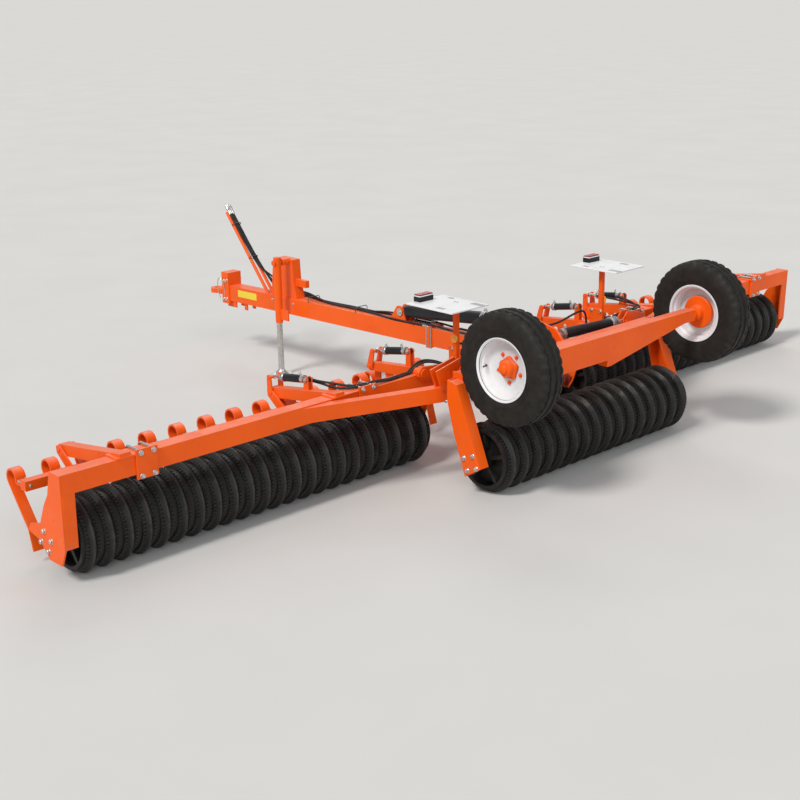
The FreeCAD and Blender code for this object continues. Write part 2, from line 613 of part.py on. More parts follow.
def tine(y):
    """A flat spring leaf clamped to the bar: forward and once round in an open loop, then down to the soil."""
    centre_x, centre_z, radius = 1290.0, 490.0, 55.0
    inner, outer = radius - LEAF / 2, radius + LEAF / 2
    turns = [math.radians(195 - 30 * k) for k in range(9)]
    tip = [(1098, 78), (1138, 215)]
    ring_out = [(centre_x + outer * math.cos(t), centre_z + outer * math.sin(t)) for t in turns]
    ring_in = [(centre_x + inner * math.cos(t), centre_z + inner * math.sin(t)) for t in reversed(turns)]
    under = [(tip[1][0] + 6, tip[1][1] - 10), (tip[0][0] + 11, tip[0][1] - 4)]
    outline = [(1178, 482), (1222, 482)] + ring_out + under + tip
    outline += [(tip[1][0] - 4, tip[1][1] + 3)] + ring_in + [(1238, 468), (1178, 468)]
    return plate(outline, "y", (y - TINE_WIDE / 2, y + TINE_WIDE / 2))


def board_bar(ys):
    """The square bar that the tines are clamped on."""
    half = BAR_SIZE / 2
    return box((BAR_AT[0] - half, BAR_AT[0] + half), ys, (BAR_AT[1] - half, BAR_AT[1] + half))


def wing_board():
    """Thirteen tines on one bar, which hangs from the pivots of the outer and middle arms."""
    ys = [FIRST_WING_TINE + TINE_PITCH * k for k in range(WING_TINES)]
    bar = board_bar((ys[0] - TINE_WIDE / 2, ys[-1] + TINE_WIDE / 2))
    px, pz = WING_BOARD_PIVOT
    cx, cz = WING_BOARD_PINS[1]
    hanger = [(BAR_AT[0] - 20, BAR_AT[1] + 5), (BAR_AT[0] + 20, BAR_AT[1] - 25), (px + 26, pz - 22)]
    hanger += [(px + 30, pz + 20), (px - 6, pz + 32), (BAR_AT[0] - 12, BAR_AT[1] + 36)]
    lever = [(px - 28, pz - 16), (px + 28, pz - 16), (cx + 20, cz + 8), (cx + 8, cz + 20), (cx - 8, cz + 20)]
    lever += [(cx - 20, cz + 8)]
    pieces = []
    for y in WING_ARMS:
        pieces += [plate(hanger, "y", span) for span in ((y + 42, y + 52), (y - 52, y - 42))]
        pieces.append(pin_y(WING_BOARD_PIVOT, (y - 58, y + 58), BOARD_PIN_R))
    y = WING_ARMS[1]
    pieces += [plate(lever, "y", span) for span in ((y + 42, y + 52), (y - 52, y - 42))]
    pieces += [pin_y(WING_BOARD_PINS[1], span, 9) for span in ((y + 16, y + 56), (y - 56, y - 16))]
    return joined(bar, *pieces, *[tine(y) for y in ys])


def inner_board():
    """Three tines on a short bar beside the drawbar, hung from the pivot of the inner arm."""
    ys = [FIRST_INNER_TINE + TINE_PITCH * k for k in range(INNER_TINES)]
    y = INNER_ARM
    bar = board_bar((ys[0] - TINE_WIDE / 2, y - 36))
    px, pz = INNER_BOARD_PIVOT
    cx, cz = INNER_BOARD_PINS[1]
    drop = [(px - 30, BAR_AT[1] - 30), (px + 30, BAR_AT[1] - 30), (px + 30, pz + 10), (px + 16, pz + 28)]
    drop += [(px - 16, pz + 28), (px - 30, pz + 10)]
    lever = [(px - 28, pz - 14), (px + 28, pz - 14), (cx + 20, cz + 8), (cx + 8, cz + 20), (cx - 8, cz + 20)]
    lever += [(cx - 20, cz + 8)]
    pieces = [plate(drop, "y", (y - 46, y - 36))]
    pieces += [plate(lever, "y", span) for span in ((y + 36, y + 46), (y - 46, y - 36))]
    pieces.append(pin_y(INNER_BOARD_PIVOT, (y - 52, y + 52), BOARD_PIN_R))
    pieces += [pin_y(INNER_BOARD_PINS[1], span, 9) for span in ((y + 16, y + 50), (y - 50, y - 16))]
    return joined(bar, *pieces, *[tine(y) for y in ys])


def along_y(points, y):
    """Places (x, z) as full points at one y."""
    return [(x, y, z) for x, z in points]


def wings():
    """Everything that both wings carry, made on the left and mirrored."""
    outer_leg, hanger = wing_legs()
    shaft = (WING_IN - 55, WING_LEG_OUT - SHEET - 4)
    wing_roll = roll(WING_ROLL_X, WING_ROLL_Y, WING_RINGS, shaft)
    fold = cylinder("fold", (FOLD_X, *FOLD_INNER), (FOLD_X, *FOLD_OUTER), (1, 0, 0))
    middle = cylinder("wing_board", *along_y(WING_BOARD_PINS, WING_ARMS[1]), (0, 1, 0))
    inner = cylinder("inner_board", *along_y(INNER_BOARD_PINS, INNER_ARM), (0, 1, 0))
    pieces = {
        "wing_beam": (wing_beam(),),
        "wing_legs": (outer_leg, hanger),
        "wing_bearings": wing_bearings(),
        "roll": (wing_roll,),
        "hoses_wing": wing_hoses(),
        "board_arms": board_arms(),
        "board": (wing_board(),),
        "inner_board": (inner_board(),),
        "fold_barrel": (fold[0],),
        "fold_rod": (fold[1],),
        "board_barrel": (middle[0],),
        "board_rod": (middle[1],),
        "inner_barrel": (inner[0],),
        "inner_rod": (inner[1],),
    }
    for name, shapes in pieces.items():
        for side, sign in SIDES:
            save(name + "_" + side, *[on_side(shape, sign) for shape in shapes])


def tip_cylinder():
    """The cylinder above the drawbar that tips the frame up for the road."""
    start = (TIP_BARREL_PIN[0], 0, TIP_BARREL_PIN[1])
    end = (TIP_ROD_PIN[0], 0, TIP_ROD_PIN[1])
    barrel, ram = cylinder("tip", start, end, (0, 1, 0))
    save("tip_barrel", barrel)
    save("tip_rod", ram)


def centre_roll():
    """The rear roll between the centre frame's legs."""
    half = CENTRE_RINGS * RING_PITCH / 2
    shaft = (-LEG_OUT + SHEET + 4, LEG_OUT - SHEET - 4)
    save("roll_centre", roll(CENTRE_ROLL_X, -half, CENTRE_RINGS, shaft))


os.makedirs("parts", exist_ok=True)
main_beam()
side_beams()
end_legs()
centre_bearings()
axle_frame()
tip_mast()
light_posts()
light_boards()
lamps()
reflectors()
wheels()
drawbar()
hitch_head()
jack_post()
jack()
hose_holder()
drawbar_hoses()
wings()
tip_cylinder()
centre_roll()
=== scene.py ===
import json
import math
import random

import bmesh
import bpy
from bpy.props import FloatProperty, FloatVectorProperty, IntProperty, PointerProperty
from mathutils import Matrix, Vector

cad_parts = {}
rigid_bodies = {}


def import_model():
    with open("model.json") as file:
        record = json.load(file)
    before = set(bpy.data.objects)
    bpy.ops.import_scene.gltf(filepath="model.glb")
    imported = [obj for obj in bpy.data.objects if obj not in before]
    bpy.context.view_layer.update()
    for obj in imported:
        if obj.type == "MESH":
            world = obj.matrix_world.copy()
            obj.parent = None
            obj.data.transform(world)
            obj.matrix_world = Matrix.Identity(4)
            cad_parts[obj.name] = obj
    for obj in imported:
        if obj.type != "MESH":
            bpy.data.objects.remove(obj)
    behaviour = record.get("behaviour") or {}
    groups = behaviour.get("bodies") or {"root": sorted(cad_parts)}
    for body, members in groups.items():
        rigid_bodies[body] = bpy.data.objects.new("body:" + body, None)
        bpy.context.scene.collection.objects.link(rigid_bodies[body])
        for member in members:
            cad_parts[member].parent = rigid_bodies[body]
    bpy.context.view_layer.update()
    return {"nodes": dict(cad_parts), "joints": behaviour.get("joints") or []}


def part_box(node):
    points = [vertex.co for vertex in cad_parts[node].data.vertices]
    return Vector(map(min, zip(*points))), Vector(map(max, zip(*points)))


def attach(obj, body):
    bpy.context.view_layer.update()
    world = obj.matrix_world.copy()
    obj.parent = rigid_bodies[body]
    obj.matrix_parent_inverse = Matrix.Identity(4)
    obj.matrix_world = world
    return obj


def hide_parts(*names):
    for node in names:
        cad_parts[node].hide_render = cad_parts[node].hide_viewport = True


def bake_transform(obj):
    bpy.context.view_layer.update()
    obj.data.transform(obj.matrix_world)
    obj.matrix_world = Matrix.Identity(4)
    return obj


bl_info = {
    "name": "Field Roller",
    "version": (1, 0, 0),
    "blender": (4, 5, 0),
    "location": "View3D > Sidebar > Field Roller",
    "description": "Dresses a towed field roller with its rings, tyres, fittings, hoses and finishes",
    "category": "Object",
}

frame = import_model()
JOINTS = {joint["name"]: joint for joint in frame["joints"]}
SIDES = (("left", 1), ("right", -1))

# Everything is placed from the centre roll's shaft, the wheels' axle and the joints' pins, in metres
SHAFT = Vector(JOINTS["centre_roll_turn"]["pos_m"])
WING_SHAFT = Vector(JOINTS["roll_turn_left"]["pos_m"])
AXLE = Vector(JOINTS["wheel_turn_left"]["pos_m"])
HINGE = Vector(JOINTS["wing_fold_left"]["pos_m"])
PIVOT = Vector(JOINTS["drawbar_tip"]["pos_m"])
RING_R = SHAFT.z
RING_PITCH = 0.125
VALLEY_R = 0.204


def at(x, y, z):
    """A place whose x is counted forward from the centre roll's shaft."""
    return Vector((SHAFT.x + x, y, z))


# Materials


def new_material(name, colour, rough, metallic=0.0, coat=0.0, shine=0.5):
    """A material with its main values on the shader's own sockets."""
    made = bpy.data.materials.new(name)
    made.use_nodes = True
    made.diffuse_color = (*colour, 1.0)
    shader = made.node_tree.nodes["Principled BSDF"]
    shader.inputs["Base Color"].default_value = (*colour, 1.0)
    shader.inputs["Roughness"].default_value = rough
    shader.inputs["Metallic"].default_value = metallic
    shader.inputs["Specular IOR Level"].default_value = shine
    shader.inputs["Coat Weight"].default_value = coat
    shader.inputs["Coat Roughness"].default_value = 0.25
    return made, shader


class Wiring:
    """Short ways to add and join nodes in one material."""

    def __init__(self, material):
        self.nodes = material.node_tree.nodes
        self.links = material.node_tree.links
        self.place = self.nodes.new("ShaderNodeTexCoord")

    def join(self, source, target):
        self.links.new(source, target)

    def noise(self, scale, detail=4.0, rough=0.6, stretch=None):
        node = self.nodes.new("ShaderNodeTexNoise")
        node.inputs["Scale"].default_value = scale
        node.inputs["Detail"].default_value = detail
        node.inputs["Roughness"].default_value = rough
        source = self.place.outputs["Object"]
        if stretch:
            mapping = self.nodes.new("ShaderNodeMapping")
            mapping.inputs["Scale"].default_value = stretch
            self.join(source, mapping.inputs["Vector"])
            source = mapping.outputs["Vector"]
        self.join(source, node.inputs["Vector"])
        return node.outputs["Fac"]

    def ramp(self, value, low, high, to_low=0.0, to_high=1.0):
        node = self.nodes.new("ShaderNodeMapRange")
        node.interpolation_type = "SMOOTHSTEP"
        for name, number in (("From Min", low), ("From Max", high), ("To Min", to_low), ("To Max", to_high)):
            node.inputs[name].default_value = number
        self.join(value, node.inputs["Value"])
        return node.outputs["Result"]

    def math(self, kind, first, second):
        node = self.nodes.new("ShaderNodeMath")
        node.operation = kind
        node.use_clamp = True
        for socket, value in zip(node.inputs, (first, second)):
            if isinstance(value, (int, float)):
                socket.default_value = value
            else:
                self.join(value, socket)
        return node.outputs["Value"]

    def mix(self, share, first, second):
        node = self.nodes.new("ShaderNodeMix")
        node.data_type = "RGBA"
        self.join(share, node.inputs["Factor"])
        for socket, value in ((node.inputs["A"], first), (node.inputs["B"], second)):
            if isinstance(value, tuple):
                socket.default_value = (*value, 1.0)
            else:
                self.join(value, socket)
        return node.outputs["Result"]

    def part(self, output, axis):
        """One axis of the object's own place or facing."""
        node = self.nodes.new("ShaderNodeSeparateXYZ")
        self.join(self.place.outputs[output], node.inputs["Vector"])
        return node.outputs[axis]

    def bump(self, height, strength, distance, shader):
        node = self.nodes.new("ShaderNodeBump")
        node.inputs["Strength"].default_value = strength
        node.inputs["Distance"].default_value = distance
        self.join(height, node.inputs["Height"])
        self.join(node.outputs["Normal"], shader.inputs["Normal"])


def paint_material(name, colour, deep, dust_and_sheen, wear=1.0):
    """Sprayed paint: two close tones, dust and a painted highlight on what faces up, dirt low down, small chips and
    orange peel.
    """
    made, shader = new_material(name, colour, 0.42, coat=0.05, shine=0.2)
    wiring = Wiring(made)
    tone = wiring.mix(wiring.ramp(wiring.noise(2.3, 5.0), 0.38, 0.66), colour, deep)
    # Faces that point up turn in patches towards a lighter colour: partly dust, partly a painted highlight that stands
    # for the sky's sheen on the tops.
    up = wiring.ramp(wiring.part("Normal", "Z"), 0.55, 0.95)
    dust_and_sheen_share = wiring.math("MULTIPLY", up, wiring.ramp(wiring.noise(7.0, 7.0, 0.7), 0.30, 0.75, 0.10, 0.34))
    dust_and_sheen_mixed = wiring.mix(dust_and_sheen_share, tone, dust_and_sheen)
    low = wiring.ramp(wiring.part("Object", "Z"), 0.62, 0.02, 0.0, 1.0)
    splash = wiring.math("MULTIPLY", low, wiring.ramp(wiring.noise(16.0, 8.0, 0.72), 0.48, 0.72, 0.0, 0.5))
    dirty = wiring.mix(splash, dust_and_sheen_mixed, (0.30, 0.22, 0.14))
    specks = wiring.ramp(wiring.noise(95.0, 3.0, 0.55), 0.735, 0.76, 0.0, 0.55 * wear)
    chipped = wiring.mix(specks, dirty, (0.16, 0.08, 0.05))
    wiring.join(chipped, shader.inputs["Base Color"])
    rough = wiring.ramp(wiring.noise(11.0, 5.0), 0.3, 0.7, 0.27, 0.46)
    wiring.join(rough, shader.inputs["Roughness"])
    wiring.bump(wiring.noise(420.0, 2.0), 0.06, 0.0006, shader)
    return made


def iron_material():
    """Cast rings: near-black iron with soil in the grooves and a rubbed crest."""
    made, shader = new_material("cast_iron", (0.010, 0.0096, 0.009), 0.6, shine=0.3)
    wiring = Wiring(made)
    crest = wiring.nodes.new("ShaderNodeAttribute")
    crest.attribute_name = "crest"
    patches = wiring.ramp(wiring.noise(9.0, 7.0, 0.7), 0.42, 0.68)
    base = wiring.mix(patches, (0.0085, 0.0082, 0.008), (0.020, 0.017, 0.014))
    rubbed = wiring.math("MULTIPLY", crest.outputs["Fac"], wiring.ramp(wiring.noise(30.0, 4.0), 0.3, 0.7, 0.35, 1.0))
    worn = wiring.mix(rubbed, base, (0.046, 0.042, 0.038))
    soil = wiring.ramp(wiring.noise(55.0, 6.0, 0.75), 0.62, 0.74, 0.0, 0.45)
    wiring.join(wiring.mix(soil, worn, (0.10, 0.078, 0.052)), shader.inputs["Base Color"])
    wiring.join(wiring.ramp(patches, 0.0, 1.0, 0.44, 0.78), shader.inputs["Roughness"])
    wiring.bump(wiring.noise(180.0, 5.0, 0.7), 0.35, 0.0015, shader)
    return made


def rubber_material(name, dark, light, grain, share=0.5):
    """Tyre or hose rubber with a dry, dusty bloom."""
    made, shader = new_material(name, dark, 0.72, shine=0.3)
    wiring = Wiring(made)
    bloom = wiring.ramp(wiring.noise(14.0, 7.0, 0.7), 0.35, 0.72, 0.0, share)
    wiring.join(wiring.mix(bloom, dark, light), shader.inputs["Base Color"])
    wiring.join(wiring.ramp(wiring.noise(23.0, 4.0), 0.3, 0.7, 0.55, 0.85), shader.inputs["Roughness"])
    wiring.bump(wiring.noise(grain, 4.0, 0.65), 0.3, 0.001, shader)
    return made


def metal_material(name, colour, other, rough, grain, stretch=None, metallic=0.9):
    """Bare, galvanised or plated metal with a spangled or drawn grain."""
    made, shader = new_material(name, colour, rough, metallic=metallic)
    wiring = Wiring(made)
    cloud = wiring.noise(grain, 5.0, 0.6, stretch)
    wiring.join(wiring.mix(wiring.ramp(cloud, 0.35, 0.68), colour, other), shader.inputs["Base Color"])
    wiring.join(wiring.ramp(cloud, 0.3, 0.7, max(rough - 0.1, 0.05), rough + 0.14), shader.inputs["Roughness"])
    wiring.bump(cloud, 0.12, 0.0005, shader)
    return made


def lens_material(name, colour):
    """A ribbed plastic lens."""
    made, shader = new_material(name, colour, 0.16, coat=0.6)
    wiring = Wiring(made)
    darker = tuple(value * 0.82 for value in colour)
    wiring.join(wiring.mix(wiring.ramp(wiring.noise(60.0, 2.0), 0.4, 0.62), colour, darker), shader.inputs["Base Color"])
    wave = wiring.nodes.new("ShaderNodeTexWave")
    wave.inputs["Scale"].default_value = 110.0
    wiring.join(wiring.place.outputs["Object"], wave.inputs["Vector"])
    wiring.bump(wave.outputs["Fac"], 0.3, 0.001, shader)
    return made


MATERIALS = {}


def make_materials(settings):
    """Every finish on the machine, by name."""
    orange = tuple(settings.paint_colour)
    deep = tuple(value * share for value, share in zip(orange, (0.93, 0.88, 0.9)))
    # The last colour of each paint is what its upward faces turn towards: partly dust, partly a painted highlight on
    # the lit tops.
    pink_dust_and_sheen = (0.86, 0.44, 0.33)
    MATERIALS["paint"] = paint_material("orange_paint", orange, deep, pink_dust_and_sheen)
    MATERIALS["hub_paint"] = paint_material("hub_paint", orange, deep, (0.70, 0.40, 0.28), 1.3)
    MATERIALS["rim"] = paint_material("white_rim_paint", (0.78, 0.79, 0.80), (0.66, 0.67, 0.69), (0.74, 0.72, 0.68), 0.35)
    MATERIALS["panel"] = paint_material("white_panel_paint", (0.82, 0.82, 0.82), (0.76, 0.76, 0.77), (0.80, 0.78, 0.75), 0.2)
    MATERIALS["black"] = paint_material("black_cylinder_paint", (0.012, 0.013, 0.015), (0.020, 0.021, 0.024), (0.06, 0.056, 0.05), 0.4)
    MATERIALS["bearing"] = paint_material("red_brown_bearing", (0.24, 0.035, 0.022), (0.13, 0.028, 0.02), (0.34, 0.2, 0.15))
    MATERIALS["label"] = paint_material("yellow_label", (0.86, 0.66, 0.06), (0.80, 0.60, 0.05), (0.80, 0.70, 0.30), 0.2)
    MATERIALS["mark"] = paint_material("grey_marks", (0.42, 0.43, 0.45), (0.34, 0.35, 0.37), (0.5, 0.49, 0.47), 0.2)
    MATERIALS["iron"] = iron_material()
    MATERIALS["tyre"] = rubber_material("tyre_rubber", (0.011, 0.0098, 0.0085), (0.036, 0.029, 0.022), 150.0)
    MATERIALS["hose"] = rubber_material("hose_rubber", (0.014, 0.0145, 0.016), (0.06, 0.058, 0.055), 500.0, 0.6)
    MATERIALS["zinc"] = metal_material("zinc_plating", (0.66, 0.67, 0.66), (0.48, 0.47, 0.43), 0.34, 70.0)
    MATERIALS["chrome"] = metal_material("chromed_rod", (0.80, 0.80, 0.81), (0.70, 0.70, 0.71), 0.14, 40.0, (1.0, 6.0, 6.0), 1.0)
    MATERIALS["dark_steel"] = metal_material("dark_steel", (0.09, 0.085, 0.08), (0.16, 0.12, 0.09), 0.5, 60.0)
    MATERIALS["red_lens"] = lens_material("red_lens", (0.55, 0.045, 0.04))
    MATERIALS["amber_lens"] = lens_material("amber_lens", (1.0, 0.40, 0.02))


# Shapes


def basis(direction, spin=0.0):
    """A turn that takes Z to a direction."""
    turn = Vector((0, 0, 1)).rotation_difference(Vector(direction).normalized()).to_matrix().to_4x4()
    return turn @ Matrix.Rotation(spin, 4, "Z")


def add_turned(bm, profile, origin, direction, segments=32, spin=0.0, material=0):
    """A turned solid from (height, radius) pairs along a direction; a radius of 0 closes an end."""
    place = Matrix.Translation(origin) @ basis(direction, spin)
    rows = []
    for height, radius in profile:
        if radius <= 0:
            rows.append([bm.verts.new(place @ Vector((0, 0, height)))])
            continue
        turns = [2 * math.pi * k / segments for k in range(segments)]
        rows.append([bm.verts.new(place @ Vector((radius * math.cos(t), radius * math.sin(t), height))) for t in turns])
    for low, high in zip(rows, rows[1:]):
        for k in range(segments):
            n = (k + 1) % segments
            if len(low) == 1 and len(high) > 1:
                corners = (low[0], high[n], high[k])
            elif len(high) == 1 and len(low) > 1:
                corners = (low[k], low[n], high[0])
            elif len(low) > 1:
                corners = (low[k], low[n], high[n], high[k])
            else:
                continue
            bm.faces.new(corners).material_index = material


def add_prism(bm, origin, direction, radius, height, sides=6, spin=0.0, material=0, chamfer=0.12):
    """A prism with a small chamfer on its far end, closed at both ends."""
    cut = radius * chamfer
    profile = [(0.0, 0.0), (0.0, radius), (height - cut, radius), (height, radius - cut), (height, 0.0)]
    add_turned(bm, profile, origin, direction, sides, spin, material)


def add_bolt(bm, origin, direction, size, nut=False, spin=0.0):
    """A washer and a hexagon head, or a nut with the thread's end standing out of it."""
    origin, direction = Vector(origin), Vector(direction).normalized()
    add_prism(bm, origin, direction, size * 1.12, size * 0.16, 20)
    seat = origin + direction * size * 0.16
    add_prism(bm, seat, direction, size * 0.95, size * 0.72, 6, spin)
    if nut:
        add_prism(bm, seat + direction * size * 0.70, direction, size * 0.52, size * 0.42, 12)


def add_block(bm, low, high, material=0, turn=None, pivot=None):
    """A block between two corners, turned about a pivot if one is given."""
    made = bmesh.ops.create_cube(bm, size=1.0)["verts"]
    low, high = Vector(low), Vector(high)
    middle, size = (low + high) / 2, high - low
    for vertex in made:
        vertex.co = Vector([vertex.co[i] * size[i] + middle[i] for i in range(3)])
        if turn is not None:
            vertex.co = pivot + turn @ (vertex.co - pivot)
    for face in {face for vertex in made for face in vertex.link_faces}:
        face.material_index = material


def add_tube(bm, points, radius, sides=10, material=0):
    """A closed round bar through points, with mitred corners."""
    points = [Vector(point) for point in points]
    rows = []
    for i, point in enumerate(points):
        back = (point - points[max(i - 1, 0)])
        ahead = (points[min(i + 1, len(points) - 1)] - point)
        along = (back.normalized() if back.length else ahead.normalized())
        along = (along + (ahead.normalized() if ahead.length else along)).normalized()
        side = along.cross(Vector((0.13, 0.31, 0.94))).normalized()
        other = along.cross(side)
        turns = [2 * math.pi * k / sides for k in range(sides)]
        rows.append([bm.verts.new(point + (side * math.cos(t) + other * math.sin(t)) * radius) for t in turns])
    for low, high in zip(rows, rows[1:]):
        for k in range(sides):
            n = (k + 1) % sides
            bm.faces.new((low[k], low[n], high[n], high[k])).material_index = material
    bm.faces.new(rows[0]).material_index = material
    bm.faces.new(list(reversed(rows[-1]))).material_index = material


def mirrored(bm, sign):
    """Flips what was built on the left to the right."""
    if sign < 0:
        bmesh.ops.scale(bm, vec=(1, -1, 1), verts=bm.verts)


SMOOTH_LIMIT = math.radians(34)


def smoothing_group():
    """A modifier group that welds a CAD mesh's seams and shades its gentle edges smooth."""
    found = bpy.data.node_groups.get("weld_and_smooth")
    if found:
        return found
    group = bpy.data.node_groups.new("weld_and_smooth", "GeometryNodeTree")
    group.interface.new_socket("Geometry", in_out="INPUT", socket_type="NodeSocketGeometry")
    group.interface.new_socket("Geometry", in_out="OUTPUT", socket_type="NodeSocketGeometry")
    nodes, links = group.nodes, group.links
    start, end = nodes.new("NodeGroupInput"), nodes.new("NodeGroupOutput")
    weld = nodes.new("GeometryNodeMergeByDistance")
    weld.inputs["Distance"].default_value = 0.00002
    clean = nodes.new("GeometryNodeRemoveAttribute")
    clean.inputs["Name"].default_value = "custom_normal"
    angle = nodes.new("GeometryNodeInputMeshEdgeAngle")
    gentle = nodes.new("FunctionNodeCompare")
    gentle.operation = "LESS_THAN"
    gentle.inputs["B"].default_value = SMOOTH_LIMIT
    faces = nodes.new("GeometryNodeSetShadeSmooth")
    edges = nodes.new("GeometryNodeSetShadeSmooth")
    edges.domain = "EDGE"
    links.new(start.outputs[0], clean.inputs["Geometry"])
    links.new(clean.outputs["Geometry"], weld.inputs["Geometry"])
    links.new(angle.outputs["Unsigned Angle"], gentle.inputs["A"])
    links.new(weld.outputs["Geometry"], faces.inputs["Geometry"])
    links.new(faces.outputs["Geometry"], edges.inputs["Geometry"])
    links.new(gentle.outputs["Result"], edges.inputs["Shade Smooth"])
    links.new(edges.outputs["Geometry"], end.inputs[0])
    return group


def dress(obj, bevel):
    """Rounds a piece's edges and smooths its round faces."""
    smooth = obj.modifiers.new("weld_and_smooth", "NODES")
    smooth.node_group = smoothing_group()
    if bevel:
        rounding = obj.modifiers.new("rounded_edges", "BEVEL")
        rounding.width = bevel
        rounding.segments = 2
        rounding.limit_method = "ANGLE"
        rounding.angle_limit = math.radians(38)
        rounding.harden_normals = True
        rounding.miter_outer = "MITER_ARC"


def finish_piece(name, bm, materials, body, bevel=0.0):
    """Turns a bmesh into a named piece that rides on a body."""
    bmesh.ops.recalc_face_normals(bm, faces=bm.faces)
    mesh = bpy.data.meshes.new(name)
    bm.to_mesh(mesh)
    bm.free()
    obj = bpy.data.objects.new(name, mesh)
    bpy.context.scene.collection.objects.link(obj)
    for material in materials:
        mesh.materials.append(MATERIALS[material])
    dress(obj, bevel)
    if body:
        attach(obj, body)
    return obj


# The CAD pieces' finishes: start of the node's name, material and width of its rounded edges
CAD_FINISHES = (
    ("main_beam", "paint", 0.006),
    ("side_beams", "paint", 0.004),
    ("end_legs", "paint", 0.003),
    ("centre_bearings", "bearing", 0.003),
    ("axle_frame", "paint", 0.005),
    ("tip_mast", "paint", 0.003),
    ("light_posts", "paint", 0.003),
    ("light_boards", "panel", 0.002),
    ("lamps", "black", 0.004),
    ("reflectors", "amber_lens", 0.001),
    ("drawbar", "paint", 0.006),
    ("hitch_head", "paint", 0.005),
    ("jack_post", "paint", 0.005),
    ("jack_tube", "paint", 0.002),
    ("jack_leg", "zinc", 0.002),
    ("hose_holder", "paint", 0.0),
    ("tip_barrel", "black", 0.002),
    ("tip_rod", "chrome", 0.001),
    ("wing_beam", "paint", 0.006),
    ("wing_legs", "paint", 0.003),
    ("wing_bearings", "bearing", 0.003),
    ("board_arms", "paint", 0.004),
    ("board_barrel", "black", 0.0015),
    ("board_rod", "chrome", 0.0008),
    ("board_", "paint", 0.002),
    ("inner_barrel", "black", 0.0015),
    ("inner_rod", "chrome", 0.0008),
    ("inner_board", "paint", 0.002),
    ("fold_barrel", "black", 0.002),
    ("fold_rod", "chrome", 0.001),
    ("hub_", "hub_paint", 0.003),
    ("rim_", "rim", 0.001),
    ("tyre_", "tyre", 0.004),
    ("roll_", "iron", 0.0),
    ("hoses_", "hose", 0.0),
)


class FieldRollerSettings(bpy.types.PropertyGroup):
    """Sizes and colours of the roller's looks."""

    paint_colour: FloatVectorProperty(
        name="Paint colour", description="Colour of the frame's paint", subtype="COLOR", size=3,
        default=(0.90, 0.115, 0.006), min=0.0, max=1.0)
    ring_segments: IntProperty(
        name="Ring segments", description="Steps round each ring of the rolls", default=224, min=24, max=240)
    ring_teeth: IntProperty(
        name="Ring notches", description="Square notches round each ring's flanks", default=56, min=8, max=80)
    tooth_height: FloatProperty(
        name="Notch depth", description="Depth of the square notches", default=0.010, unit="LENGTH", min=0.001, max=0.03)
    tread_depth: FloatProperty(
        name="Tread depth", description="Depth of the tyres' grooves", default=0.009, unit="LENGTH", min=0.002, max=0.02)
    bolt_size: FloatProperty(
        name="Bolt size", description="Nominal radius of the frame's bolt heads", default=0.016, unit="LENGTH",
        min=0.004, max=0.04)
    hose_radius: FloatProperty(
        name="Hose radius", description="Radius of the hydraulic hoses", default=0.008, unit="LENGTH", min=0.003, max=0.02)
    lens_length: FloatProperty(
        name="Camera lens", description="Focal length of the camera", default=59.65, unit="CAMERA", min=20.0, max=200.0)


class ROLLER_OT_finish_frame(bpy.types.Operator):
    """Gives each CAD piece its finish and rounded edges"""

    bl_idname = "roller.finish_frame"
    bl_label = "Finish the frame"

    def execute(self, context):
        make_materials(context.scene.field_roller)
        for node, obj in frame["nodes"].items():
            found = [row for row in CAD_FINISHES if node.startswith(row[0])]
            if not found:
                raise RuntimeError("no finish is set for " + node)
            _, material, bevel = found[0]
            obj.data.materials.clear()
            obj.data.materials.append(MATERIALS[material])
            if not node.startswith(("roll_", "hoses_")):
                dress(obj, bevel)
        return {"FINISHED"}


# Rolls


def ring_stations(tooth):
    """One ring from groove to groove: (place along the shaft, radius, notched, how rubbed)."""
    rise = ((0.0000, VALLEY_R, False, 0.0), (0.0170, VALLEY_R + 0.001, False, 0.0),
            (0.0175, VALLEY_R + 0.004 + tooth, True, 0.2), (0.0375, VALLEY_R + 0.008 + tooth, True, 0.3),
            (0.0380, VALLEY_R + 0.012, False, 0.0), (0.0510, VALLEY_R + 0.023, False, 0.1),
            (0.0605, RING_R - 0.0004, False, 1.0))
    fall = tuple((RING_PITCH - place, radius, notched, rub) for place, radius, notched, rub in reversed(rise[1:]))
    return rise + fall


